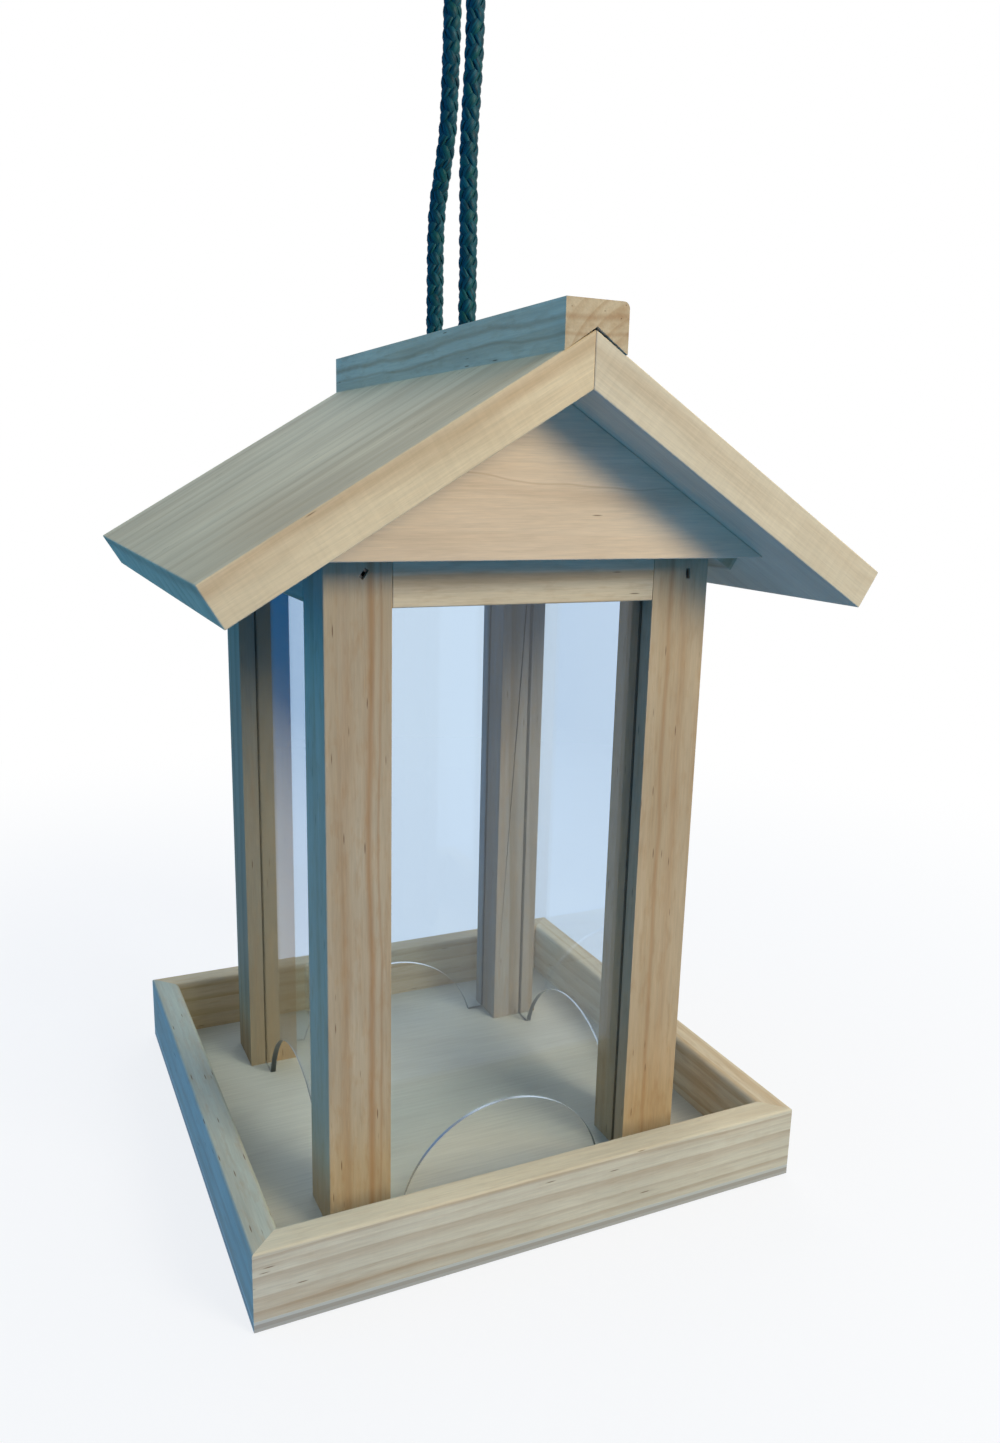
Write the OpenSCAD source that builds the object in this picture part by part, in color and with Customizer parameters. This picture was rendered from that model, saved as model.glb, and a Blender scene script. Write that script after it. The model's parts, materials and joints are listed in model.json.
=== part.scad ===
// A hanging wooden seed feeder for birds: a mitred tray, a glazed four-post house and a gabled
// roof that lifts up along its hanging cord. All sizes are in millimetres.
// The origin is the middle of the base board's underside. +Z is up and the front gable faces -Y.

/* [Tray] */
// Outer width of the tray, across the front
tray_w = 186; // [165:1:240]
// Outer depth of the tray, front to back
tray_d = 183; // [165:1:240]
// Thickness of the plywood base board
base_t = 3.6; // [3:0.1:9]
// Height of the tray rails above the base board
tray_rail_h = 21.5; // [14:0.5:40]
// Thickness of the tray rails
tray_rail_t = 9.5; // [7:0.5:14]
// Rounding of the tray rails' outer top edges
tray_edge_r = 0.8; // [0.3:0.1:2]
// Rounding of the tray rails' inner top edges
tray_inner_r = 1.8; // [0.3:0.1:3]

/* [House frame] */
// Width over the posts, side to side
house_w = 125.5; // [110:0.5:140]
// Depth over the posts, front to back
house_d = 127.5; // [110:0.5:140]
// Side of the square post stock, which the top rails share as their thickness
post = 20; // [17:0.5:24]
// Length of the posts
post_h = 214; // [150:1:300]
// Height of the top rails between the posts
top_rail_h = 20; // [16:0.5:28]
// From the outer face of a post to the middle of its pane grooves
groove_set = 6.8; // [4:0.1:9]
// Depth of the pane grooves in the posts and top rails
groove_depth = 4; // [2.5:0.1:5]

/* [Panes] */
// Thickness of the clear panes
pane_t = 2; // [1.5:0.1:3]
// Play of a pane in its groove, on each face
pane_play = 0.2; // [0.1:0.05:0.4]
// Gap between a pane's edge and the bottom of its groove
pane_edge_gap = 0.5; // [0.2:0.1:1]
// Radius of the arched feeding mouth
arch_r = 37.5; // [26:0.5:38]
// Height of the feeding mouth above the base board
arch_h = 27.9; // [18:0.1:32]

/* [Roof] */
// Slope of the roof, in degrees from level
roof_pitch = 31.5; // [26:0.5:38]
// Width of a roof board, down the slope
roof_board_w = 120; // [108:1:150]
// Thickness of the roof boards
roof_t = 12.5; // [9:0.5:16]
// How far the roof boards pass the gables' faces at each end
end_overhang = 18.5; // [10:0.5:30]
// Clearance between the roof boards and the house's top edges
roof_seat = 0.3; // [0.2:0.05:0.6]
// Thickness of the gables
gable_t = 12.5; // [9:0.5:16]
// How far a gable hangs below the posts' tops
gable_drop = 6; // [3:0.5:12]
// Clearance between a gable and the posts behind it
gable_gap = 1.75; // [0.5:0.05:3]
// Width of the ridge cap
cap_w = 18.5; // [14:0.5:28]
// How far the ridge cap stands proud of the roof boards at each end
cap_proud = 0.5; // [0:0.1:2]
// Height of the ridge cap above the ridge
cap_rise = 7.2; // [5:0.1:12]
// Rounding of the ridge cap's right top edge
cap_round = 1.8; // [0.5:0.1:3]
// Spare depth at the peak of the ridge cap's V groove
notch_relief = 0.6; // [0.2:0.1:1]

/* [Battens] */
// Width of the locating battens, down the slope
batten_w = 8; // [6:0.5:12]
// Thickness of the locating battens
batten_h = 5.5; // [4:0.5:8]
// Clearance between a batten and the house's side
batten_gap = 1; // [0.5:0.1:2]
// Gap between a batten's end and the gable
batten_end_gap = 0.5; // [0:0.1:2]

/* [Cord] */
// Diameter of the braided cord
cord_d = 6; // [5:0.5:7]
// Distance between the two strands where they pass the ridge
strand_spacing = 27.5; // [22:0.5:32]
// Clearance round the cord in the ridge, on the radius
ridge_hole_play = 1.25; // [1:0.05:2]
// Clearance round the cord in the cord bar, on the radius
bar_hole_play = 0.25; // [0.15:0.05:0.5]
// Width of the cord bar, front to back
cord_bar_w = 44; // [40:1:60]
// Thickness of the cord bar
cord_bar_t = 9.5; // [7:0.5:12]
// Radius of the stopper knots
knot_r = 8; // [7:0.1:9]
// Height of the stopper knots
knot_h = 12.5; // [9:0.5:15]
// Length of the cord's tail under a knot
knot_tail = 4; // [2:0.5:8]
// Radius of a knot's ends, as a share of the knot's radius
knot_neck = 0.75; // [0.6:0.01:0.9]

/* [Fasteners] */
// Thickness of the brads' flat wire
brad_t = 1.3; // [1:0.1:1.6]
// Width of the brads' shanks
brad_w = 1.4; // [1:0.1:2]
// Width of the brads' heads
brad_head_w = 3; // [2.4:0.1:4]
// Thickness of the brads' heads
brad_head_t = 0.9; // [0.6:0.1:1.2]
// How deep a brad's head is driven below the face
brad_sink = 1.2; // [0.4:0.1:2]
// Clearance round the brads in the wood
brad_play = 0.05; // [0.02:0.01:0.1]
// Length of the brads through the posts
frame_brad_l = 38; // [30:1:45]
// Length of the brads that hold the cord bar
bar_brad_l = 34; // [28:1:40]
// Length of the brads through the base board
tray_brad_l = 16; // [8:1:20]
// Length of the brads through the battens
batten_brad_l = 12; // [8:1:14]
// Distance between the two brads of a tray rail
tray_brad_spacing = 110; // [60:1:130]
// Distance between the two brads of the cord bar, in each side rail
bar_brad_spacing = 24; // [12:1:32]
// Distance between the two brads of a batten
batten_brad_spacing = 90; // [50:1:100]
// Radius of the base screws' shanks
screw_r = 1.6; // [1.2:0.1:2]
// Radius of the base screws' heads
screw_head_r = 3.4; // [2.8:0.1:4]
// Length of the base screws
screw_l = 22; // [14:1:30]
// How deep a screw's head sits below the base board's underside
screw_sink = 0.2; // [0.1:0.05:0.4]
// Clearance round the base screws in the wood
screw_play = 0.1; // [0.05:0.01:0.2]

/* [Hidden] */

$fn = 64;
eps = 0.01;
// How far a cut runs past the face that it opens
past = 1;
pine = [0.80, 0.71, 0.56];
plywood = [0.72, 0.66, 0.54];
clear_acrylic = [0.80, 0.89, 0.95, 0.35];
dark_teal = [0.08, 0.29, 0.32];
steel = [0.45, 0.45, 0.46];

post_top = base_t + post_h;
groove_w = pane_t + 2 * pane_play;
// A rail as long as the clear space between two posts
clear_w = house_w - 2 * post;
clear_d = house_d - 2 * post;
// How far a pane's edge reaches into a groove
pane_bite = groove_depth - pane_edge_gap;
pane_h = post_h - top_rail_h + pane_bite;

// The roof boards' underside passes just over the outer top edges of the house
under_peak = post_top + roof_seat + house_w / 2 * tan(roof_pitch);
roof_peak = under_peak + roof_t / cos(roof_pitch);
eave_x = roof_board_w * cos(roof_pitch);
eave_z = roof_peak - roof_board_w * sin(roof_pitch);
gable_bottom = post_top - gable_drop;
gable_half_w = (under_peak - gable_bottom) / tan(roof_pitch);
gable_inner_y = house_d / 2 + gable_gap;
roof_l = 2 * (gable_inner_y + gable_t + end_overhang);
cap_l = roof_l + 2 * cap_proud;
cap_top = roof_peak + cap_rise;
cap_lip = roof_peak - cap_w / 2 * tan(roof_pitch);
// From the underside's peak down the slope to a batten's inner edge
batten_u = (house_w / 2 + batten_gap + batten_h * sin(roof_pitch)) / cos(roof_pitch);
batten_l = 2 * (gable_inner_y - batten_end_gap);

cord_r = cord_d / 2;
bar_under = post_top - cord_bar_t;
cord_sides = 10;
// The distance between the strands in the route below, which spreads to strand_spacing
route_spacing = 27.5;
// The cord's route from the back knot up through the ridge, round its hanging loop and down to
// the front knot. Each point is [toward the back from the middle, height above the bar's underside].
cord_route = [
    [13.75, 0], [13.75, 14], [13.75, 32], [13.75, 52], [13.75, 72], [13.75, 90], [13.75, 100],
    [13.3, 106], [12.6, 110.5], [11.2, 115], [8.6, 121], [6.2, 127], [4.3, 133], [3.2, 141],
    [2.5, 150], [1.9, 162], [1.8, 174], [3, 182], [5.2, 191], [3.5, 197.3], [-1, 201.8],
    [-7.3, 203.5], [-13.6, 201.8], [-18.1, 197.3], [-19.8, 191], [-17.8, 182], [-16.6, 174],
    [-16.2, 162], [-15.8, 150], [-14.9, 142], [-13.9, 134], [-13, 126], [-12.9, 117], [-13.4, 106],
    [-13.75, 90], [-13.75, 66], [-13.75, 42], [-13.75, 20], [-13.75, 0]
];

// Brads at the post heads, as driven: [side, front or back, shift across, shift up, lean]
frame_brad_list = [
    [-1, -1, 1.7, -0.3, -35], [1, -1, 2.6, -1.8, 3], [-1, 1, -1.2, 0.6, 8], [1, 1, 0.8, -0.9, -12]
];

function unit(v) = v / norm(v);

// Extrudes a profile drawn in X and Z along Y, centred
module along_y(length) {
    rotate([90, 0, 0]) linear_extrude(length, center = true) children();
}

// Places what is drawn at the front left corner of the house at another corner
module at_corner(side, end) {
    translate([side * house_w / 2, end * house_d / 2, 0])
        mirror([side > 0 ? 1 : 0, 0, 0])
            mirror([0, end > 0 ? 1 : 0, 0])
                children();
}

// Places what is drawn under a level ceiling, with X down the slope, under a roof board
module under_slope(side) {
    mirror([side < 0 ? 1 : 0, 0, 0])
        translate([0, 0, under_peak])
            rotate([0, roof_pitch, 0])
                children();
}

// A brad driven down from a face at Z 0, its head across Y; play makes it the hole for one
module brad(length, play = 0) {
    top = play > 0 ? brad_sink + eps : 0;
    translate([0, 0, -brad_sink - brad_head_t / 2 + top / 2])
        cube([brad_t + 2 * play, brad_head_w + 2 * play, brad_head_t + top], center = true);
    translate([0, 0, -brad_sink - length / 2])
        cube([brad_t + 2 * play, brad_w + 2 * play, length + 2 * play], center = true);
}

// A countersunk screw driven up from a face at Z 0; play makes it the hole for one
module base_screw(play = 0) {
    head = screw_head_r + play;
    shank = screw_r + play;
    mouth = play > 0 ? -eps : screw_sink;
    rotate_extrude()
        polygon([
            [0, mouth], [head, mouth], [head, screw_sink],
            [shank, screw_sink + screw_head_r - screw_r], [shank, screw_sink + screw_l - screw_r],
            [0, screw_sink + screw_l + play]
        ]);
}

module frame_brad_places() {
    for (b = frame_brad_list)
        translate([
            b[0] * (house_w - post) / 2 + b[2],
            b[1] * house_d / 2,
            post_top - top_rail_h / 2 + b[3]
        ])
            rotate([-90 * b[1], 0, 0]) rotate([0, 0, b[4]]) children();
}

module bar_brad_places() {
    for (side = [-1, 1], end = [-1, 1])
        translate([side * house_w / 2, end * bar_brad_spacing / 2, post_top - cord_bar_t / 2])
            rotate([0, 90 * side, 0]) children();
}

module tray_brad_places() {
    for (end = [-1, 1], at = [-1, 1]) {
        translate([at * tray_brad_spacing / 2, end * (tray_d - tray_rail_t) / 2, 0])
            rotate([180, 0, 0]) rotate([0, 0, 90]) children();
        translate([end * (tray_w - tray_rail_t) / 2, at * tray_brad_spacing / 2, 0])
            rotate([180, 0, 0]) children();
    }
}

module batten_brad_places(side) {
    for (at = [-1, 1])
        under_slope(side)
            translate([batten_u + batten_w / 2, at * batten_brad_spacing / 2, -batten_h])
                rotate([180, 0, 0]) children();
}

module screw_places() {
    for (side = [-1, 1], end = [-1, 1])
        translate([side * (house_w - post) / 2, end * (house_d - post) / 2, 0]) children();
}

// The bores for both strands, from one height to another
module cord_bores(play, low, high) {
    for (end = [-1, 1])
        translate([0, end * strand_spacing / 2, low]) cylinder(h = high - low, r = cord_r + play);
}

module base_board() {
    color(plywood) difference() {
        translate([-tray_w / 2, -tray_d / 2, 0]) cube([tray_w, tray_d, base_t]);
        screw_places() base_screw(screw_play);
        tray_brad_places() brad(tray_brad_l, brad_play);
    }
}

// A tray rail along X with its outer face on Y 0 and mitred ends
module tray_rail(length) {
    intersection() {
        translate([-length / 2, 0, 0]) rotate([90, 0, 90]) linear_extrude(length) {
            square([tray_rail_t - tray_inner_r, tray_rail_h - tray_edge_r]);
            translate([tray_edge_r, 0])
                square([tray_rail_t - tray_edge_r, tray_rail_h - tray_inner_r]);
            translate([tray_edge_r, 0])
                square([tray_rail_t - tray_edge_r - tray_inner_r, tray_rail_h]);
            translate([tray_edge_r, tray_rail_h - tray_edge_r]) circle(tray_edge_r);
            translate([tray_rail_t - tray_inner_r, tray_rail_h - tray_inner_r])
                circle(tray_inner_r);
        }
        linear_extrude(tray_rail_h)
            polygon([
                [-length / 2, 0], [length / 2, 0],
                [length / 2 - tray_rail_t, tray_rail_t], [-length / 2 + tray_rail_t, tray_rail_t]
            ]);
    }
}

// A tray rail turned to its side of the tray, with the holes for its brads
module placed_tray_rail(turn, length, reach) {
    color(pine) difference() {
        rotate([0, 0, turn]) translate([0, -reach, base_t]) tray_rail(length);
        tray_brad_places() brad(tray_brad_l, brad_play);
    }
}

module tray_rail_front() { placed_tray_rail(0, tray_w, tray_d / 2); }
module tray_rail_back() { placed_tray_rail(180, tray_w, tray_d / 2); }
module tray_rail_left() { placed_tray_rail(-90, tray_d, tray_w / 2); }
module tray_rail_right() { placed_tray_rail(90, tray_d, tray_w / 2); }

// A corner post with a pane groove in each of its two inner faces
module corner_post(side, end) {
    color(pine) difference() {
        at_corner(side, end) translate([0, 0, base_t]) linear_extrude(post_h) difference() {
            square(post);
            translate([post - groove_depth, groove_set - groove_w / 2])
                square([groove_depth + eps, groove_w]);
            translate([groove_set - groove_w / 2, post - groove_depth])
                square([groove_w, groove_depth + eps]);
        }
        frame_brad_places() brad(frame_brad_l, brad_play);
        screw_places() base_screw(screw_play);
    }
}

module post_front_left() { corner_post(-1, -1); }
module post_front_right() { corner_post(1, -1); }
module post_back_left() { corner_post(-1, 1); }
module post_back_right() { corner_post(1, 1); }

// A top rail along X with its outer face on Y 0 and a pane groove in its underside
module top_rail(length) {
    rotate([90, 0, 90]) linear_extrude(length, center = true) difference() {
        square([post, top_rail_h]);
        translate([groove_set - groove_w / 2, -eps]) square([groove_w, groove_depth + eps]);
    }
}

// A top rail turned to its side of the house, with the holes for the brads that reach it
module placed_top_rail(turn, length, reach) {
    color(pine) difference() {
        rotate([0, 0, turn]) translate([0, -reach, post_top - top_rail_h]) top_rail(length);
        frame_brad_places() brad(frame_brad_l, brad_play);
        bar_brad_places() brad(bar_brad_l, brad_play);
    }
}

module top_rail_front() { placed_top_rail(0, clear_w, house_d / 2); }
module top_rail_back() { placed_top_rail(180, clear_w, house_d / 2); }
module top_rail_left() { placed_top_rail(-90, clear_d, house_w / 2); }
module top_rail_right() { placed_top_rail(90, clear_d, house_w / 2); }

// A clear pane along X that stands on the base board, with its arched feeding mouth
module pane(turn, opening, reach) {
    width = opening + 2 * pane_bite;
    color(clear_acrylic)
        rotate([0, 0, turn]) translate([0, groove_set - reach, base_t]) along_y(pane_t)
            difference() {
                translate([-width / 2, 0]) square([width, pane_h]);
                translate([0, arch_h - arch_r]) circle(arch_r, $fn = 96);
            }
}

module pane_front() { pane(0, clear_w, house_d / 2); }
module pane_back() { pane(180, clear_w, house_d / 2); }
module pane_left() { pane(-90, clear_d, house_w / 2); }
module pane_right() { pane(90, clear_d, house_w / 2); }

// The bar between the side rails that carries the feeder's weight on the cord
module cord_bar() {
    color(pine) difference() {
        translate([-clear_w / 2, -cord_bar_w / 2, bar_under])
            cube([clear_w, cord_bar_w, cord_bar_t]);
        cord_bores(bar_hole_play, bar_under - past, post_top + past);
        bar_brad_places() brad(bar_brad_l, brad_play);
    }
}

// Stopper knots that bear on the bar's underside, each with its short tail
module cord_knots() {
    neck = knot_neck * knot_r;
    rise = sqrt(knot_r * knot_r - neck * neck);
    color(dark_teal)
        for (end = [-1, 1])
            translate([0, end * strand_spacing / 2, bar_under]) rotate_extrude() {
                intersection() {
                    translate([0, -knot_h]) square([knot_r, knot_h]);
                    translate([0, -knot_h / 2]) scale([1, knot_h / 2 / rise]) circle(knot_r);
                }
                translate([0, -knot_h - knot_tail]) square([cord_r, knot_h]);
            }
}

// A round tube along the route, which lies in the plane X 0
module cord() {
    last = len(cord_route) - 1;
    spread = strand_spacing / route_spacing;
    points = [
        for (i = [0:last])
            let (
                ahead = cord_route[min(i + 1, last)],
                behind = cord_route[max(i - 1, 0)],
                across = unit([ahead[1] - behind[1], spread * (behind[0] - ahead[0])])
            )
            for (k = [0:cord_sides - 1])
                let (turn = 360 * k / cord_sides)
                [
                    cord_r * cos(turn),
                    spread * cord_route[i][0] + cord_r * sin(turn) * across[0],
                    bar_under + cord_route[i][1] + cord_r * sin(turn) * across[1]
                ]
    ];
    walls = [
        for (i = [0:last - 1], k = [0:cord_sides - 1])
            let (a = i * cord_sides + k, b = i * cord_sides + (k + 1) % cord_sides)
            each [[a, a + cord_sides, b], [b, a + cord_sides, b + cord_sides]]
    ];
    first_end = [for (k = [0:cord_sides - 1]) k];
    last_end = [for (k = [cord_sides - 1:-1:0]) last * cord_sides + k];
    color(dark_teal) polyhedron(points, concat(walls, [first_end, last_end]));
}

module frame_brads() { color(steel) frame_brad_places() brad(frame_brad_l); }
module bar_brads() { color(steel) bar_brad_places() brad(bar_brad_l); }
module tray_brads() { color(steel) tray_brad_places() brad(tray_brad_l); }
module base_screws() { color(steel) screw_places() base_screw(); }

// A roof board, cut plumb at the ridge and square at the eave, bored half round for each strand
module roof_board(side) {
    color(pine) difference() {
        mirror([side < 0 ? 1 : 0, 0, 0]) along_y(roof_l)
            polygon([
                [0, roof_peak], [eave_x, eave_z],
                [eave_x - roof_t * sin(roof_pitch), eave_z - roof_t * cos(roof_pitch)],
                [0, under_peak]
            ]);
        cord_bores(ridge_hole_play, under_peak - roof_t, roof_peak + past);
        batten_brad_places(side) brad(batten_brad_l, brad_play);
    }
}

module roof_board_left() { roof_board(-1); }
module roof_board_right() { roof_board(1); }

// A triangular gable that fills the roof's end and hangs in front of the posts
module gable(end) {
    color(pine) translate([0, end * (gable_inner_y + gable_t / 2), 0]) along_y(gable_t)
        polygon([[-gable_half_w, gable_bottom], [gable_half_w, gable_bottom], [0, under_peak]]);
}

module gable_front() { gable(-1); }
module gable_back() { gable(1); }

// The ridge cap: its V groove sits on the ridge by its lips, and its right top edge is rounded
module ridge_cap() {
    color(pine) difference() {
        along_y(cap_l) difference() {
            union() {
                translate([-cap_w / 2, cap_lip]) square([cap_w - cap_round, cap_top - cap_lip]);
                translate([-cap_w / 2, cap_lip]) square([cap_w, cap_top - cap_lip - cap_round]);
                translate([cap_w / 2 - cap_round, cap_top - cap_round]) circle(cap_round);
            }
            polygon([
                [-cap_w / 2, cap_lip], [-cap_w / 2, cap_lip - past], [cap_w / 2, cap_lip - past],
                [cap_w / 2, cap_lip], [0, roof_peak + notch_relief]
            ]);
        }
        cord_bores(ridge_hole_play, cap_lip - past, cap_top + past);
    }
}

// A strip under a roof board that keeps the roof from sliding sideways off the house
module batten(side) {
    color(pine) difference() {
        under_slope(side)
            translate([batten_u, -batten_l / 2, -batten_h]) cube([batten_w, batten_l, batten_h]);
        batten_brad_places(side) brad(batten_brad_l, brad_play);
    }
}

module batten_left() { batten(-1); }
module batten_right() { batten(1); }

module batten_brads() {
    color(steel) for (side = [-1, 1]) batten_brad_places(side) brad(batten_brad_l);
}

base_board();
tray_rail_front();
tray_rail_back();
tray_rail_left();
tray_rail_right();
post_front_left();
post_front_right();
post_back_left();
post_back_right();
top_rail_front();
top_rail_back();
top_rail_left();
top_rail_right();
pane_front();
pane_back();
pane_left();
pane_right();
cord_bar();
cord_knots();
cord();
frame_brads();
bar_brads();
tray_brads();
base_screws();
roof_board_left();
roof_board_right();
gable_front();
gable_back();
ridge_cap();
batten_left();
batten_right();
batten_brads();
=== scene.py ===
"""Looks of a hanging wooden bird feeder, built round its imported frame.

The feeder is a mitred pine tray with a plywood floor, a house of four posts with clear
panes, and a gabled roof that lifts along a braided hanging cord. Everything is in metres in
the frame's own axes, unless a name ends in MM or says millimetres.
"""

from __future__ import annotations

import json
import logging
import math
from dataclasses import dataclass, field
from enum import Enum

import bmesh
import bpy
import numpy as np
from mathutils import Euler, Matrix, Vector

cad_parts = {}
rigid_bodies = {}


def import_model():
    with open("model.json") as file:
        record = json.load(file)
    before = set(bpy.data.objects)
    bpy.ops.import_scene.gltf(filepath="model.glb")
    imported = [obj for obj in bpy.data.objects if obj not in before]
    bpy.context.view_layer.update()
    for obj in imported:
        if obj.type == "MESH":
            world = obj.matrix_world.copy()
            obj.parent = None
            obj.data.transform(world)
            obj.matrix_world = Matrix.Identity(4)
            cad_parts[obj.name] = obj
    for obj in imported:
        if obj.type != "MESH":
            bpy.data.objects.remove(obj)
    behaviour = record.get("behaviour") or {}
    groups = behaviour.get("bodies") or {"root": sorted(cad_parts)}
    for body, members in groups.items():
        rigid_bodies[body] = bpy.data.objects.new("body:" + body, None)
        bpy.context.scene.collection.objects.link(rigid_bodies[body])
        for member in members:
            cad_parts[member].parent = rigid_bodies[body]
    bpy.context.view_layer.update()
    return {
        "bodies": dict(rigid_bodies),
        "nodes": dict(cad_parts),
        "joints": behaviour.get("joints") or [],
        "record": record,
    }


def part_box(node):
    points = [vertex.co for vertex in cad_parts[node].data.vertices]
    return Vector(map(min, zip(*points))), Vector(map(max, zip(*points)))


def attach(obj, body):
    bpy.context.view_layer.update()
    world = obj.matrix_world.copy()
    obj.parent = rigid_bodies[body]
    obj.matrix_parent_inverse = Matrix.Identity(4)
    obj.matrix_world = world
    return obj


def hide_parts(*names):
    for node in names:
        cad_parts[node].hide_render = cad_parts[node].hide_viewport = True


log = logging.getLogger("bird_feeder")

Tree = bpy.types.NodeTree
Socket = bpy.types.NodeSocket
Material = bpy.types.Material
Vec = tuple[float, float, float]

MM = 0.001
ROOF_PITCH = math.radians(31.5)
# The Mix node has several inputs of one name, so its colour ones are told apart by place
MIX_A, MIX_B, MIX_OUT = 6, 7, 2
# Points nearer than this are one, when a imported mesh's loose triangles are merged
WELD = 2e-6
# Faces that turn less than this are joined, edges that turn more than the second are eased, and
# edges that turn more than the third are shaded sharp
FLAT, EASED, SHARP = (math.radians(a) for a in (0.6, 28, 15))
# Only edges longer than a fastener hole's are eased, so that no small hole holds the rest back
LONG_EDGE = 7 * MM


# ---- small helpers


def rgb(code: str) -> tuple[float, float, float, float]:
    """Turns an sRGB hex colour into the linear colour that shaders use.

    Args:
        code: Six hex digits, with or without a leading hash.

    Returns:
        Linear red, green and blue, and an alpha of 1.
    """
    digits = code.lstrip("#")
    parts = [int(digits[i : i + 2], 16) / 255 for i in (0, 2, 4)]
    linear = [c / 12.92 if c <= 0.04045 else ((c + 0.055) / 1.055) ** 2.4 for c in parts]
    return (linear[0], linear[1], linear[2], 1.0)


def add(
    tree: Tree, kind: str, inputs: dict[str | int, object] | None = None, out: str | int = 0,
    **settings: object,
) -> Socket | None:
    """Adds a node, sets its properties and fills its inputs.

    Args:
        tree: The node tree that the node goes into.
        kind: The node's type name; a shader node's goes without its ShaderNode.
        inputs: Input names or places, each with a plain value or a socket to link from.
        out: The name or place of the output that is wanted.
        settings: The node's properties.

    Returns:
        That output, whose node is the new one, or None where the node has no outputs.
    """
    node = tree.nodes.new(kind if "Node" in kind else "ShaderNode" + kind)
    for key, value in settings.items():
        setattr(node, key, value)
    for key, value in (inputs or {}).items():
        if isinstance(value, Socket):
            tree.links.new(value, node.inputs[key])
        else:
            node.inputs[key].default_value = value
    return node.outputs[out] if node.outputs else None


def empty_material(name: str) -> tuple[Material, Tree]:
    """Makes a material with an empty node tree.

    Args:
        name: The finish's name.

    Returns:
        The material and its tree.
    """
    material = bpy.data.materials.new(name)
    material.use_nodes = True
    material.node_tree.nodes.clear()
    return material, material.node_tree


def link_mesh(name: str, mesh: bpy.types.Mesh) -> bpy.types.Object:
    """Puts a mesh into the scene as an object at the origin.

    Args:
        name: The object's name.
        mesh: Its mesh, in the frame's own place.

    Returns:
        The new object.
    """
    obj = bpy.data.objects.new(name, mesh)
    bpy.context.scene.collection.objects.link(obj)
    return obj


def put_in_place(
    name: str, mesh: bpy.types.Mesh, node: str, body: str,
) -> bpy.types.Object:
    """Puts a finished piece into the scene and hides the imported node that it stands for.

    Args:
        name: The piece's name.
        mesh: Its mesh, in the frame's own place.
        node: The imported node.
        body: The body that it rides on.

    Returns:
        The piece's object.
    """
    obj = link_mesh(name, mesh)
    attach(obj, body)
    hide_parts(node)
    log.info("%s: %d faces, on the %s", name, len(mesh.polygons), body)
    return obj


# ---- wood


class Grain(Enum):
    """Which way a board's fibres run, as the axes across, through and along the board."""

    ALONG_X = ((0, 1, 0), (0, 0, 1), (1, 0, 0))
    ALONG_Y = ((0, 0, 1), (1, 0, 0), (0, 1, 0))
    ALONG_Z = ((1, 0, 0), (0, 1, 0), (0, 0, 1))
    DOWN_RIGHT_SLOPE = (
        (0, 1, 0), (math.sin(ROOF_PITCH), 0, math.cos(ROOF_PITCH)),
        (math.cos(ROOF_PITCH), 0, -math.sin(ROOF_PITCH)),
    )
    DOWN_LEFT_SLOPE = (
        (0, -1, 0), (-math.sin(ROOF_PITCH), 0, math.cos(ROOF_PITCH)),
        (-math.cos(ROOF_PITCH), 0, -math.sin(ROOF_PITCH)),
    )

    def axes(self) -> Matrix:
        """Returns the matrix that turns the frame's axes to across, through and along."""
        return Matrix(self.value)


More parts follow.
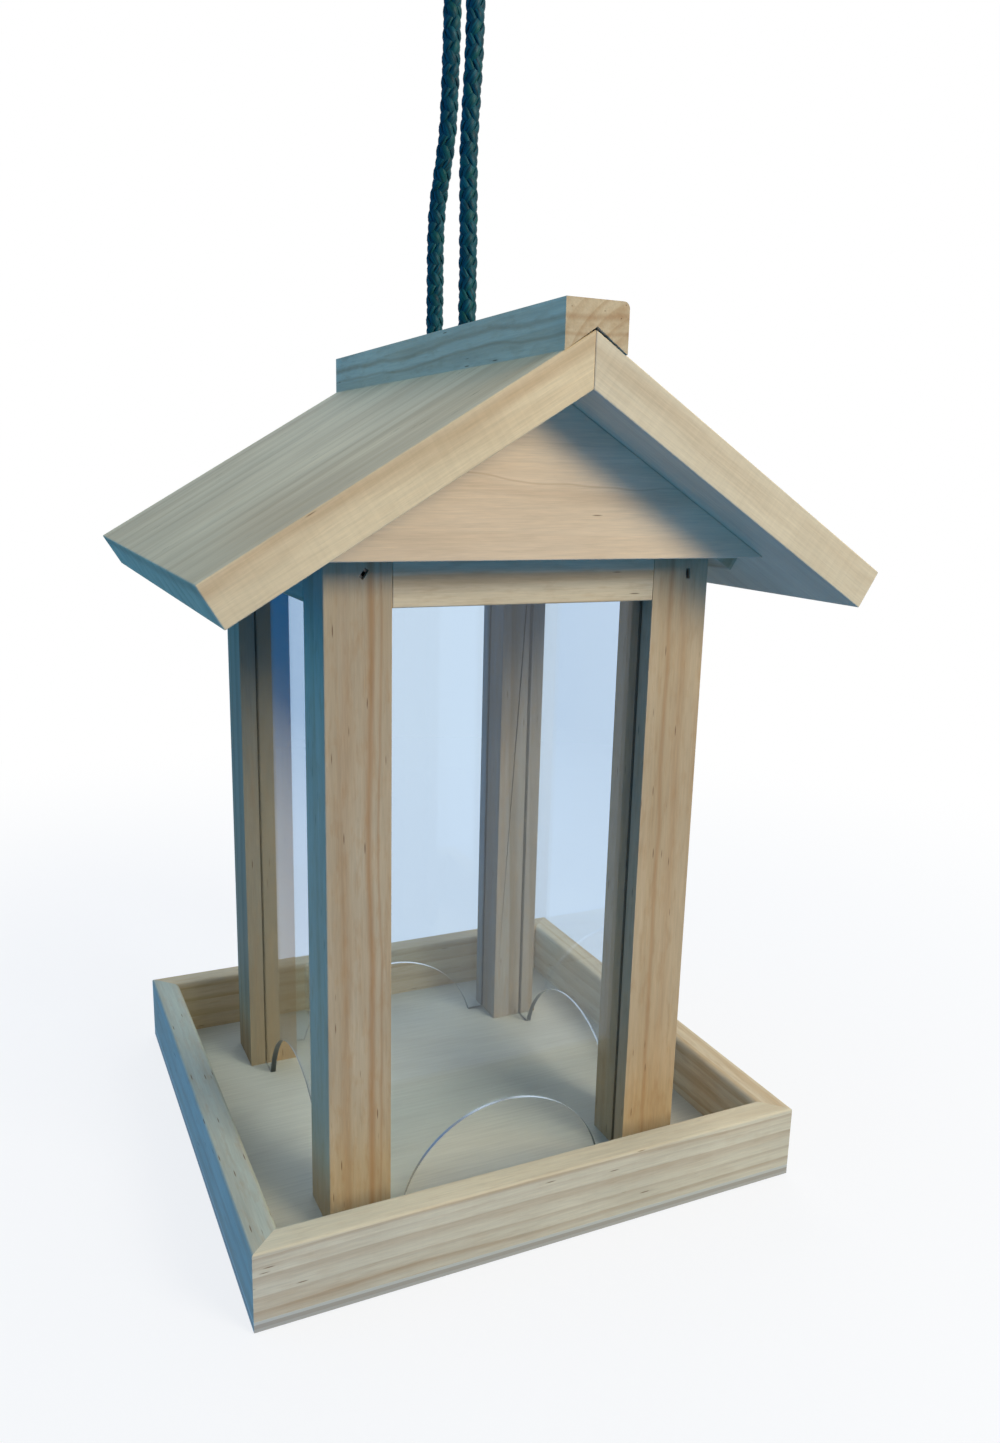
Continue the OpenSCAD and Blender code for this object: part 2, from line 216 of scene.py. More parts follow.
@dataclass(frozen=True)
class PlanedPine:
    """Unfinished radiata pine, sawn and planed.

    To the eye it is a pale cream wood with soft tan bands of latewood, hair-thin fibre
    lines, short brown resin dashes along the grain, and a matt surface. The pattern is a
    solid one: growth rings round the tree's middle, so faces show lines or arches and
    sawn ends show arcs.
    """

    name: str
    grain: Grain
    # Where the tree's middle lay, seen along the grain, in millimetres from the board's middle
    pith: tuple[float, float] = (-60.0, 30.0)
    # Growth ring spacing in millimetres: radiata pine grows fast, 4 to 15 a year
    ring: float = 9.0
    # Slope of the fibres to the board's faces, in degrees
    lean: tuple[float, float] = (0.5, 0.8)
    early: str = "#D3C19D"
    late: str = "#BA9D72"
    streak: str = "#B08A5C"
    dash: str = "#6E5034"
    # How strongly rings, broad streaks, resin dashes and the sawn edges' marks show, from 0 to 1
    rings: float = 0.8
    streaks: float = 0.35
    dashes: float = 0.8
    saw: float = 0.0
    # How strongly small tan flecks of compressed fibre show, from 0 to 1
    mottle: float = 0.3
    # Single bands that stand out: axis (0 across, 1 through), millimetres from the board's
    # middle, half width in millimetres, and how strongly they show. Most are streaks in the wood;
    # the front tray rail's, on its top face, is painted warm light
    bands: tuple[tuple[int, float, float, float], ...] = ()
    band: str = "#A5794A"
    # How far such a band wavers, in millimetres
    band_sway: float = 4.0
    # How far rings wander, in millimetres
    wander: float = 5.0
    # Share of resin canals that were cut open enough to show
    open_canals: float = 0.45

    def build(self, middle: Vector) -> Material:
        """Makes the material for one board.

        Args:
            middle: The board's middle in metres, which the pattern is laid from.

        Returns:
            The material.
        """
        material, tree = empty_material(self.name)
        place = add(tree, "TexCoord").node
        turn = Euler([math.radians(a) for a in (*self.lean, 0.0)]).to_matrix() @ self.grain.axes()
        start = -(turn @ (middle / MM)) - Vector((*self.pith, 0.0))
        start -= Vector((self.wander / 2, self.wander / 2, 0.0))
        board = add(
            tree, "Mapping",
            {
                "Vector": place.outputs["Object"], "Location": start, "Rotation": turn.to_euler(),
                "Scale": (1 / MM,) * 3,
            },
            vector_type="POINT",
        )
        late = self._latewood(tree, board)
        dash = self._resin(tree, board)
        noises = {}
        # Features in a millimetre across, through and along the grain, then detail
        for key, per_mm, detail in (
            ("fibre", (1.3, 1.3, 0.06), 3.0), ("hair", (3.6, 3.6, 0.16), 1.0),
            ("broad", (0.15, 0.15, 0.011), 2.0), ("cloud", (0.04, 0.04, 0.02), 1.0),
            ("mottle", (0.5, 0.5, 0.11), 3.0), ("marks", (0.015, 0.015, 0.9), 1.0),
        ):
            drawn = add(tree, "VectorMath", {0: board, 1: per_mm}, operation="MULTIPLY")
            noises[key] = add(
                tree, "TexNoise",
                {"Vector": drawn, "Scale": 1.0, "Detail": detail, "Roughness": 0.6},
            )
        tans = {}
        for key, first, full, share in (
            ("broad", 0.48, 0.72, self.streaks), ("mottle", 0.50, 0.74, self.mottle),
        ):
            tans[key] = add(
                tree, "MapRange",
                {"Value": noises[key], "From Min": first, "From Max": full, "To Max": share},
            )
        facing = {}
        for key, axis in (("edge", 0), ("end", 2)):
            dot = add(
                tree, "VectorMath", {0: place.outputs["Normal"], 1: self.grain.value[axis]},
                out="Value", operation="DOT_PRODUCT",
            )
            size = add(tree, "Math", {0: dot}, operation="ABSOLUTE")
            facing[key] = add(tree, "MapRange", {"Value": size, "From Min": 0.75, "From Max": 0.95})
        shades = {}
        for key, swing in (("fibre", 0.07), ("hair", 0.04), ("cloud", 0.07), ("marks", 0.07)):
            shades[key] = add(
                tree, "MapRange",
                {
                    "Value": noises[key], "From Min": 0.3, "From Max": 0.7, "To Min": 1.0 - swing,
                    "To Max": 1.0 + 0.8 * swing,
                },
            )
        sawn = add(tree, "Math", {0: facing["edge"], 1: self.saw}, operation="MULTIPLY")
        colour: Socket | tuple[float, ...] = rgb(self.early)
        for share, way, top in (
            (late, "MIX", rgb(self.late)),
            (tans["broad"], "MIX", rgb(self.streak)),
            (tans["mottle"], "MIX", rgb(self.streak)),
            *((self._band(tree, board, *band), "MIX", rgb(self.band)) for band in self.bands),
            (1.0, "MULTIPLY", shades["fibre"]),
            (1.0, "MULTIPLY", shades["hair"]),
            (1.0, "MULTIPLY", shades["cloud"]),
            (sawn, "MULTIPLY", shades["marks"]),
            (dash, "MIX", rgb(self.dash)),
            # Cut ends soak up light between the open fibres, so they look a shade deeper
            (facing["end"], "MULTIPLY", (0.93, 0.88, 0.81, 1.0)),
        ):
            colour = add(
                tree, "Mix", {0: share, MIX_A: colour, MIX_B: top}, out=MIX_OUT, data_type="RGBA",
                blend_type=way,
            )
        relief = add(
            tree, "Math", {0: noises["marks"], 1: sawn, 2: noises["fibre"]},
            operation="MULTIPLY_ADD",
        )
        relief = add(tree, "Math", {0: relief, 1: dash}, operation="SUBTRACT")
        bump = add(tree, "Bump", {"Strength": 0.3, "Distance": 0.10 * MM, "Height": relief})
        rough = add(
            tree, "MapRange",
            {
                "Value": noises["fibre"], "From Min": 0.3, "From Max": 0.7, "To Min": 0.60,
                "To Max": 0.76,
            },
        )
        # Raw sawn fibres mirror less than a smooth surface of the same index
        surface = add(
            tree, "BsdfPrincipled",
            {
                "Base Color": colour, "Roughness": rough, "Normal": bump, "IOR": 1.5,
                "Specular IOR Level": 0.2,
            },
        )
        add(tree, "OutputMaterial", {"Surface": surface})
        return material

    def _latewood(self, tree: Tree, board: Socket) -> Socket:
        """Makes the growth rings.

        Args:
            tree: The material's tree.
            board: Millimetres in the board's own axes.

        Returns:
            How much latewood shows, from 0 to 1.
        """
        slow = add(tree, "VectorMath", {0: board, 1: (0.022, 0.022, 0.0065)}, operation="MULTIPLY")
        sway = add(tree, "TexNoise", {"Vector": slow, "Scale": 1.0, "Detail": 2.0}).node
        moved = add(
            tree, "VectorMath",
            {0: sway.outputs["Color"], 1: (self.wander, self.wander, 0.0), 2: board},
            operation="MULTIPLY_ADD",
        )
        level = add(tree, "VectorMath", {0: moved, 1: (1.0, 1.0, 0.0)}, operation="MULTIPLY")
        out = add(tree, "VectorMath", {0: level}, out="Value", operation="LENGTH")
        year = add(tree, "Math", {0: out, 1: 1 / self.ring}, operation="MULTIPLY")
        uneven = add(
            tree, "TexNoise", {"W": year, "Scale": 0.7, "Detail": 0.0}, noise_dimensions="1D",
        )
        phase = add(tree, "Math", {0: uneven, 1: 0.8, 2: year}, operation="MULTIPLY_ADD")
        through = add(tree, "Math", {0: phase}, operation="FRACT")
        ramp = add(tree, "ValToRGB", {0: through}).node
        ramp.color_ramp.interpolation = "EASE"
        stops = ramp.color_ramp.elements
        stops[0].position, stops[0].color = 0.0, (0.05, 0.05, 0.05, 1.0)
        stops[1].position, stops[1].color = 1.0, (0.05, 0.05, 0.05, 1.0)
        for position, value in ((0.45, 0.16), (0.80, 0.90), (0.90, 1.0), (0.97, 0.2)):
            stop = stops.new(position)
            stop.color = (value, value, value, 1.0)
        whole = add(tree, "Math", {0: phase}, operation="FLOOR")
        luck = add(tree, "TexWhiteNoise", {"W": whole}, out="Value", noise_dimensions="1D")
        force = add(
            tree, "MapRange", {"Value": luck, "To Min": 0.35 * self.rings, "To Max": self.rings},
        )
        return add(
            tree, "Math", {0: ramp.outputs[0], 1: force}, operation="MULTIPLY", use_clamp=True,
        )

    def _band(
        self, tree: Tree, board: Socket, axis: int, at: float, half_wide: float, share: float,
    ) -> Socket:
        """Makes one soft band along the grain, which wavers a millimetre or two.

        Args:
            tree: The material's tree.
            board: Millimetres in the board's own axes.
            axis: 0 for a place across the board, 1 for one through it.
            at: The band's place in millimetres from the board's middle.
            half_wide: Half its width in millimetres.
            share: How strongly its middle shows.

        Returns:
            How much of the band shows, from 0 to its share.
        """
        drawn = add(tree, "VectorMath", {0: board, 1: (0.02,) * 3}, operation="MULTIPLY")
        sway = add(tree, "TexNoise", {"Vector": drawn, "Scale": 1.0, "Detail": 2.0})
        apart = add(tree, "SeparateXYZ", {0: board}, out=axis)
        # The noise lies round 0.5, which the place makes up for
        start = at - self.pith[axis] - self.wander / 2 + 0.5 * self.band_sway
        off = add(tree, "Math", {0: sway, 1: self.band_sway, 2: apart}, operation="MULTIPLY_ADD")
        near = add(
            tree, "Math", {0: add(tree, "Math", {0: off, 1: start}, operation="SUBTRACT")},
            operation="ABSOLUTE",
        )
        return add(
            tree, "MapRange",
            {"Value": near, "From Max": half_wide, "To Min": share, "To Max": 0.0},
            interpolation_type="SMOOTHSTEP",
        )

    def _resin(self, tree: Tree, board: Socket) -> Socket:
        """Makes the short resin dashes, about 0.35 mm wide and 2 to 4 mm long.

        Args:
            tree: The material's tree.
            board: Millimetres in the board's own axes.

        Returns:
            How much of a dash shows, from 0 to 1.
        """
        cells = add(tree, "VectorMath", {0: board, 1: (0.55, 0.55, 0.055)}, operation="MULTIPLY")
        canals = add(tree, "TexVoronoi", {"Vector": cells, "Scale": 1.0}).node
        inside = add(
            tree, "MapRange",
            {
                "Value": canals.outputs["Distance"], "From Min": 0.06, "From Max": 0.12,
                "To Min": self.dashes, "To Max": 0.0,
            },
        )
        luck = add(tree, "SeparateColor", {0: canals.outputs["Color"]})
        shown = add(tree, "Math", {0: luck, 1: self.open_canals}, operation="LESS_THAN")
        return add(tree, "Math", {0: inside, 1: shown}, operation="MULTIPLY")


@dataclass(frozen=True)
class PinePlywood:
    """Thin three-ply pine board with rotary-cut faces.

    Its faces are smooth, pale and nearly plain, with faint wide loops of figure. Its edges
    show a darker cross ply between two pale ones.
    """

    name: str = "three-ply pine board, sanded"
    thickness: float = 3.6 * MM
    face: str = "#CCCAB9"
    figure: str = "#BFB9A8"
    cross_ply: str = "#B3AA97"

    def build(self) -> Material:
        """Makes the material.

        Returns:
            The material, with figured faces and layered edges.
        """
        material, tree = empty_material(self.name)
        place = add(tree, "TexCoord").node
        wide = add(tree, "Mapping", {"Vector": place.outputs["Object"], "Scale": (5.0, 16.0, 16.0)})
        hills = add(tree, "TexNoise", {"Vector": wide, "Scale": 1.0, "Detail": 1.0})
        loops = add(tree, "Math", {0: hills, 1: 0.055}, operation="PINGPONG")
        loop_share = add(
            tree, "MapRange",
            {"Value": loops, "From Min": 0.030, "From Max": 0.055, "To Max": 0.18},
            interpolation_type="SMOOTHSTEP",
        )
        fine = add(
            tree, "Mapping", {"Vector": place.outputs["Object"], "Scale": (45.0, 1100.0, 1100.0)},
        )
        fibre = add(tree, "TexNoise", {"Vector": fine, "Scale": 1.0, "Detail": 2.0})
        colour = add(
            tree, "Mix", {0: loop_share, MIX_A: rgb(self.face), MIX_B: rgb(self.figure)},
            out=MIX_OUT, data_type="RGBA",
        )
        shade = add(
            tree, "MapRange",
            {"Value": fibre, "From Min": 0.3, "From Max": 0.7, "To Min": 0.94, "To Max": 1.05},
        )
        colour = add(
            tree, "Mix", {0: 1.0, MIX_A: colour, MIX_B: shade}, out=MIX_OUT, data_type="RGBA",
            blend_type="MULTIPLY",
        )
        upright = add(tree, "SeparateXYZ", {0: place.outputs["Object"]}).node
        layer = add(tree, "Math", {0: upright.outputs["Z"], 1: self.thickness}, operation="DIVIDE")
        plies = add(tree, "ValToRGB", {0: layer}).node
        stops = plies.color_ramp.elements
        stops[0].position, stops[0].color = 0.0, rgb(self.figure)
        stops[1].position, stops[1].color = 1.0, rgb(self.face)
        for position, code in (
            (0.31, self.figure), (0.34, self.cross_ply), (0.68, self.cross_ply), (0.72, self.face),
        ):
            stop = stops.new(position)
            stop.color = rgb(code)
        facing = add(tree, "SeparateXYZ", {0: place.outputs["Normal"]}).node
        flat = add(
            tree, "Math",
            {0: add(tree, "Math", {0: facing.outputs["Z"]}, operation="ABSOLUTE"), 1: 0.5},
            operation="GREATER_THAN",
        )
        colour = add(
            tree, "Mix", {0: flat, MIX_A: plies.outputs[0], MIX_B: colour}, out=MIX_OUT,
            data_type="RGBA",
        )
        bump = add(tree, "Bump", {"Strength": 0.2, "Distance": 0.06 * MM, "Height": fibre})
        surface = add(
            tree, "BsdfPrincipled",
            {
                "Base Color": colour, "Roughness": 0.66, "Normal": bump, "IOR": 1.5,
                "Specular IOR Level": 0.25,
            },
        )
        add(tree, "OutputMaterial", {"Surface": surface})
        return material


@dataclass(frozen=True)
class ClearAcrylic:
    """Cast clear acrylic sheet, 2 mm thick, with a faint cool tint.

    It is nearly invisible face on, with soft reflections. Its routed edges are matt and milky,
    so they draw a thin pale line.
    """

    name: str = "cast clear acrylic sheet"
    tint: str = "#EEF5FB"
    # What a lamp's light keeps through one pane
    shadow: str = "#E6ECF2"
    roughness: float = 0.012
    # Acrylic's index, which sets how much it mirrors
    index: float = 1.49
    # Routed edges scatter light on their fine tool marks
    edge_name: str = "routed acrylic edge"
    edge: str = "#7F8A89"
    edge_roughness: float = 0.3
    edge_clearness: float = 0.88

    def build(self) -> Material:
        """Makes the faces' material.

        Returns:
            The material, which lets lamps through, so it casts a faint shadow.
        """
        material, tree = empty_material(self.name)
        sheet = add(
            tree, "BsdfPrincipled",
            {
                "Base Color": rgb(self.tint), "Roughness": self.roughness, "IOR": self.index,
                "Transmission Weight": 1.0,
            },
        )
        through = add(tree, "BsdfTransparent", {"Color": rgb(self.shadow)})
        lamp = add(tree, "LightPath", out="Is Shadow Ray")
        mixed = add(tree, "MixShader", {0: lamp, 1: sheet, 2: through})
        add(tree, "OutputMaterial", {"Surface": mixed})
        return material

    def build_edge(self) -> Material:
        """Makes the routed edges' material.

        Returns:
            The material, with tool marks about 0.3 mm apart.
        """
        material, tree = empty_material(self.edge_name)
        place = add(tree, "TexCoord", out="Object")
        marks = add(tree, "TexNoise", {"Vector": place, "Scale": 3000.0, "Detail": 1.0})
        bump = add(tree, "Bump", {"Strength": 0.4, "Distance": 0.03 * MM, "Height": marks})
        surface = add(
            tree, "BsdfPrincipled",
            {
                "Base Color": rgb(self.edge), "Roughness": self.edge_roughness, "IOR": self.index,
                "Transmission Weight": self.edge_clearness, "Normal": bump,
            },
        )
        add(tree, "OutputMaterial", {"Surface": surface})
        return material


@dataclass(frozen=True)
class BraidedPolypropylene:
    """Dark teal braided polypropylene yarn with a soft waxy shine and a few green threads."""

    name: str = "braided polypropylene yarn"
    yarn: str = "#07545E"
    deep: str = "#032B35"
    thread: str = "#0E5C4A"
    # Filament bundles that can be told apart across a strand
    bundles: float = 7.0

    def build(self) -> Material:
        """Makes the material.

        Returns:
            The material, which reads each strand's own UV map.
        """
        material, tree = empty_material(self.name)
        along = add(tree, "UVMap", uv_map="yarn")
        # U runs 1 a millimetre along a strand, and V once round it
        drawn = add(
            tree, "VectorMath", {0: along, 1: (0.12, self.bundles, 1.0)}, operation="MULTIPLY",
        )
        filaments = add(tree, "TexNoise", {"Vector": drawn, "Scale": 1.6, "Detail": 2.0})
        slow = add(tree, "VectorMath", {0: along, 1: (0.09, 1.6, 1.0)}, operation="MULTIPLY")
        patch = add(tree, "TexNoise", {"Vector": slow, "Scale": 1.0, "Detail": 1.0})
        shade = add(tree, "MapRange", {"Value": filaments, "From Min": 0.35, "From Max": 0.65})
        colour = add(
            tree, "Mix", {0: shade, MIX_A: rgb(self.deep), MIX_B: rgb(self.yarn)}, out=MIX_OUT,
            data_type="RGBA",
        )
        green = add(
            tree, "MapRange", {"Value": patch, "From Min": 0.54, "From Max": 0.70, "To Max": 0.5},
        )
        colour = add(
            tree, "Mix", {0: green, MIX_A: colour, MIX_B: rgb(self.thread)}, out=MIX_OUT,
            data_type="RGBA",
        )
        bump = add(tree, "Bump", {"Strength": 0.6, "Distance": 0.15 * MM, "Height": filaments})
        # Fine filaments mirror less than a smooth rod of the same index
        surface = add(
            tree, "BsdfPrincipled",
            {
                "Base Color": colour, "Roughness": 0.48, "Normal": bump, "IOR": 1.49,
                "Specular IOR Level": 0.2,
            },
        )
        add(tree, "OutputMaterial", {"Surface": surface})
        return material


@dataclass(frozen=True)
class DrawnSteel:
    """Drawn steel wire with a dull oil-blackened skin, as brads and wood screws have."""

    name: str = "drawn steel wire, oil-blackened"
    metal: str = "#4A4A4D"
    worn: str = "#7C7B79"

    def build(self) -> Material:
        """Makes the material.

        Returns:
            The material, with worn spots about a millimetre across.
        """
        material, tree = empty_material(self.name)
        place = add(tree, "TexCoord", out="Object")
        spots = add(tree, "TexNoise", {"Vector": place, "Scale": 900.0, "Detail": 3.0})
        colour = add(
            tree, "Mix", {0: spots, MIX_A: rgb(self.metal), MIX_B: rgb(self.worn)}, out=MIX_OUT,
            data_type="RGBA",
        )
        rough = add(tree, "MapRange", {"Value": spots, "To Min": 0.35, "To Max": 0.6})
        surface = add(
            tree, "BsdfPrincipled", {"Base Color": colour, "Roughness": rough, "Metallic": 1.0},
        )
        add(tree, "OutputMaterial", {"Surface": surface})
        return material


# ---- boards and panes


@dataclass(frozen=True)
class Board:
    """One board of the feeder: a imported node's shape with eased edges and its own wood."""

    node: str
    finish: PlanedPine | PinePlywood
    slot: str = "pine"
    # Width of the eased edges
    ease: float = 0.35 * MM

    def build(self, frame: dict, body: str) -> bpy.types.Object:
        """Builds the board and hides the node that it stands for.

        Args:
            frame: The loaded frame.
            body: The body that it rides on.

        Returns:
            The board's object.
        """
        low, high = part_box(self.node)
        mesh = eased_copy(frame["nodes"][self.node].data, self.node + "_wood", self.ease)
        if isinstance(self.finish, PlanedPine):
            mesh.materials.append(self.finish.build((low + high) / 2))
        else:
            mesh.materials.append(self.finish.build())
        return put_in_place(mesh.name, mesh, self.node, body)


def eased_copy(source: bpy.types.Mesh, name: str, ease: float) -> bpy.types.Mesh:
    """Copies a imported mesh, joins its loose triangles and eases its long edges.

    Args:
        source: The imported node's mesh, which isn't changed.
        name: The new mesh's name.
        ease: Width of the eased edges.

    Returns:
        The new mesh.
    """
    mesh = bpy.data.meshes.new(name)
    bm = bmesh.new()
    bm.from_mesh(source)
    bmesh.ops.remove_doubles(bm, verts=bm.verts, dist=WELD)
    bmesh.ops.dissolve_limit(
        bm, angle_limit=FLAT, verts=bm.verts, edges=bm.edges, delimit={"NORMAL"},
    )
    long_edges = [
        e for e in bm.edges
        if len(e.link_faces) == 2 and e.calc_face_angle(0.0) > EASED and e.calc_length() > LONG_EDGE
    ]
    bmesh.ops.bevel(
        bm, geom=long_edges, offset=ease, offset_type="OFFSET", segments=2, profile=0.5,
        affect="EDGES", clamp_overlap=True,
    )
    bmesh.ops.recalc_face_normals(bm, faces=bm.faces)
    bm.to_mesh(mesh)
    bm.free()
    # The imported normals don't suit the new narrow faces, so they are worked out again
    if "custom_normal" in mesh.attributes:
        mesh.attributes.remove(mesh.attributes["custom_normal"])
    mesh.polygons.foreach_set("use_smooth", [True] * len(mesh.polygons))
    mesh.set_sharp_from_angle(angle=SHARP)
    return mesh


# ---- studio


@dataclass(frozen=True)
class SoftBox:
    """A large soft lamp that the camera doesn't see."""

    name: str
    place: Vec
    aim: Vec
    size: tuple[float, float]
    watts: float
    colour: str

    def build(self) -> bpy.types.Object:
        """Sets up the lamp.

        Returns:
            The lamp, turned to what it lights.
        """
        lamp = bpy.data.lights.new(self.name, "AREA")
        lamp.shape = "RECTANGLE"
        lamp.size, lamp.size_y = self.size
        lamp.energy = self.watts
        lamp.color = rgb(self.colour)[:3]
        obj = bpy.data.objects.new(self.name, lamp)
        obj.location = self.place
        toward = Vector(self.aim) - Vector(self.place)
        obj.rotation_euler = toward.to_track_quat("-Z", "Y").to_euler()
        obj.visible_camera = False
        obj.visible_transmission = False
        bpy.context.scene.collection.objects.link(obj)
        return obj


@dataclass
class Studio:
    """The pale floor, the soft lamps, the white surroundings and the camera."""

    # Camera, fitted to the photograph: place in metres, then turns in degrees
    place: Vec = (-0.14731, -0.35419, 0.23470)
    heading: float = 25.250
    down: float = 13.256
    roll: float = 1.400
    lens_mm: float = 27.544
    shift: tuple[float, float] = (0.00367, 0.008813)
    floor_half: float = 6.0
    floor_drop: float = 0.2 * MM
    # The floor's shadow shows within the first of these distances and is gone by the second
    shadow_reach: tuple[float, float] = (0.18, 0.60)
    # How much of the floor's own shading the camera sees near the feeder
    shadow_share: float = 0.20
    floor_paint: str = "#EDEFF2"
    # The photograph's pale blue backdrop: how it looks through two panes, and the light that the
    # floor returns on the right and on the left
    behind_glass: str = "#E5F0FA"
    returned: str = "#4A86C0"
    returned_left: str = "#3A9CF2"
    # What the room's left side mirrors as, and how far left it begins and is reached in full
    left_wall: str = "#186AA6"
    wall_reach: tuple[float, float] = (0.02, 0.25)
    # Where along X the floor's returned light starts to turn to the left's, and where it has
    returned_turns: tuple[float, float] = (0.10, -0.35)
    # Soft light from the surroundings: a direction, and its colour there
    sky: tuple[tuple[Vec, str], ...] = (
        ((-1, 0, 0), "#3F86BC"), ((0, 0, 1), "#AFBCD3"), ((0, -1, 0), "#5F514C"),
        ((1, 0, 0), "#8B959B"), ((0, 1, 0), "#788690"),
    )
    lamps: tuple[SoftBox, ...] = (
        SoftBox(
            "key from the front right", (0.50, -1.00, 0.69), (0.0, 0.0, 0.17), (0.45, 0.45), 9.9,
            "#FFF3D9",
        ),
        SoftBox(
            "cool window from the left", (-1.25, 0.42, 0.24), (0.0, 0.0, 0.15), (1.3, 1.3), 4.9,
            "#00BAFF",
        ),
        SoftBox(
            "soft fill from behind", (0.45, 1.25, 0.60), (0.0, 0.0, 0.15), (1.0, 1.0), 6.0,
            "#FFF8EE",
        ),
    )

    def build(self) -> None:
        """Builds the studio."""
        self._camera()
        self._world()
        self._floor()
        for lamp in self.lamps:
            lamp.build()
        log.info("studio: camera, floor and %d lamps", len(self.lamps))

    def _camera(self) -> None:
        """Sets up the camera at the photograph's place and angle."""
        yaw, pitch, roll = (math.radians(a) for a in (self.heading, self.down, self.roll))
        ahead = Vector(
            (math.sin(yaw) * math.cos(pitch), math.cos(yaw) * math.cos(pitch), -math.sin(pitch))
        )
        level = Vector((math.cos(yaw), -math.sin(yaw), 0.0))
        above = level.cross(ahead)
        right = math.cos(roll) * level + math.sin(roll) * above
        up = -math.sin(roll) * level + math.cos(roll) * above
        data = bpy.data.cameras.new("photograph's camera")
        data.lens = self.lens_mm
        data.sensor_width = 36.0
        data.shift_x, data.shift_y = self.shift
        data.clip_start, data.clip_end = 0.01, 50.0
        camera = bpy.data.objects.new("photograph's camera", data)
        turn = Matrix((right, up, -ahead)).transposed()
        camera.matrix_world = Matrix.Translation(self.place) @ turn.to_4x4()
        bpy.context.scene.collection.objects.link(camera)
        bpy.context.scene.camera = camera
        bpy.context.scene.view_settings.view_transform = "Standard"

    def _white(self, tree: Tree, kind: str, place: Socket) -> Socket:
        """Makes the white that is seen, which is the pale blue backdrop through a pane.

        Args:
            tree: The world's or the floor's tree.
            kind: Type name of the shader that gives it.
            place: The direction looked in, or the floor's own metres.

        Returns:
            The shader.
        """
        path = add(tree, "LightPath").node.outputs
        leftward = add(
            tree, "VectorMath", {0: place, 1: (-1.0, 0.0, 0.0)}, out="Value",
            operation="DOT_PRODUCT",
        )
        mirrored = add(tree, "Math", {0: path["Glossy Depth"], 1: 1.0}, operation="MINIMUM")
        near, far = self.wall_reach
        # The panes and the wood's sheen mirror a blue wall on the left, as in the photograph
        wall = add(
            tree, "MapRange",
            {"Value": leftward, "From Min": near, "From Max": far, "To Max": mirrored},
        )
        colour: Socket | tuple[float, ...] = (1.0, 1.0, 1.0, 1.0)
        for share, code in (
            (path["Is Transmission Ray"], self.behind_glass), (wall, self.left_wall),
        ):
            colour = add(
                tree, "Mix", {0: share, MIX_A: colour, MIX_B: rgb(code)}, out=MIX_OUT,
                data_type="RGBA",
            )
        return add(tree, kind, {"Color": colour, "Strength": 1.0})

    @staticmethod
    def _seen_else_lit(tree: Tree, seen: Socket, lit: Socket) -> Socket:
        """Mixes what a ray sees straight, mirrored or through a pane with what lights things.

        Args:
            tree: The world's or the floor's tree.
            seen: The shader that is seen.
            lit: The shader that lights the feeder.

        Returns:
            The mixed shader.
        """
        path = add(tree, "LightPath").node.outputs
        share = path["Is Camera Ray"]
        # A ray that has left a matt surface is light, even where it then goes through a pane
        no_matt = add(tree, "Math", {0: path["Diffuse Depth"], 1: 0.5}, operation="LESS_THAN")
        for way, other in (
            ("MAXIMUM", path["Is Glossy Ray"]), ("MAXIMUM", path["Is Transmission Ray"]),
            ("MULTIPLY", no_matt),
        ):
            share = add(tree, "Math", {0: share, 1: other}, operation=way)
        return add(tree, "MixShader", {0: share, 1: lit, 2: seen})

    def _world(self) -> None:
        """Makes the surroundings: white to look at, and a dim soft fill as light."""
        world = bpy.data.worlds.new("white studio")
        world.use_nodes = True
        bpy.context.scene.world = world
        tree = world.node_tree
        tree.nodes.clear()
        # Generated is the direction that a ray looks in
        look = add(tree, "TexCoord", out="Generated")
        total: Socket | tuple[float, ...] = (0.0, 0.0, 0.0)
        for toward, code in self.sky:
            lobe = add(
                tree, "VectorMath", {0: look, 1: toward}, out="Value", operation="DOT_PRODUCT",
            )
            lobe = add(tree, "Math", {0: lobe, 1: 0.0}, operation="MAXIMUM").node
            total = add(
                tree, "VectorMath", {0: lobe.outputs[0], 1: rgb(code)[:3], 2: total},
                operation="MULTIPLY_ADD",
            )
        fill = add(tree, "Background", {"Color": total, "Strength": 1.0})
        white = self._white(tree, "Background", look)
        shown = self._seen_else_lit(tree, white, fill)
        add(tree, "OutputWorld", {"Surface": shown})

    def _floor(self) -> None:
        """Lays the pale floor, which keeps the feeder's shadow round it."""
        half, drop = self.floor_half, -self.floor_drop
        mesh = bpy.data.meshes.new("floor")
        mesh.from_pydata(
            [(-half, -half, drop), (half, -half, drop), (half, half, drop), (-half, half, drop)],
            [], [(0, 1, 2, 3)],
        )
        material, tree = empty_material("pale studio floor")
        place = add(tree, "TexCoord", out="Object")
        across = add(tree, "SeparateXYZ", {0: place}, out="X")
        right_end, left_end = self.returned_turns
        blue = add(
            tree, "MapRange", {"Value": across, "From Min": right_end, "From Max": left_end},
            interpolation_type="SMOOTHSTEP",
        )
        light = add(
            tree, "Mix", {0: blue, MIX_A: rgb(self.returned), MIX_B: rgb(self.returned_left)},
            out=MIX_OUT, data_type="RGBA",
        )
        returned = add(tree, "BsdfDiffuse", {"Color": light})
        pale = add(tree, "BsdfDiffuse", {"Color": rgb(self.floor_paint)})
        away = add(tree, "VectorMath", {0: place}, operation="LENGTH").node
        near, far = self.shadow_reach
        share = add(
            tree, "MapRange",
            {
                "Value": away.outputs["Value"], "From Min": near, "From Max": far,
                "To Min": 1.0 - self.shadow_share, "To Max": 1.0,
            },
            interpolation_type="SMOOTHSTEP",
        )
        white = self._white(tree, "Emission", place)
        seen = add(tree, "MixShader", {0: share, 1: pale, 2: white})
        shown = self._seen_else_lit(tree, seen, returned)
        add(tree, "OutputMaterial", {"Surface": shown})
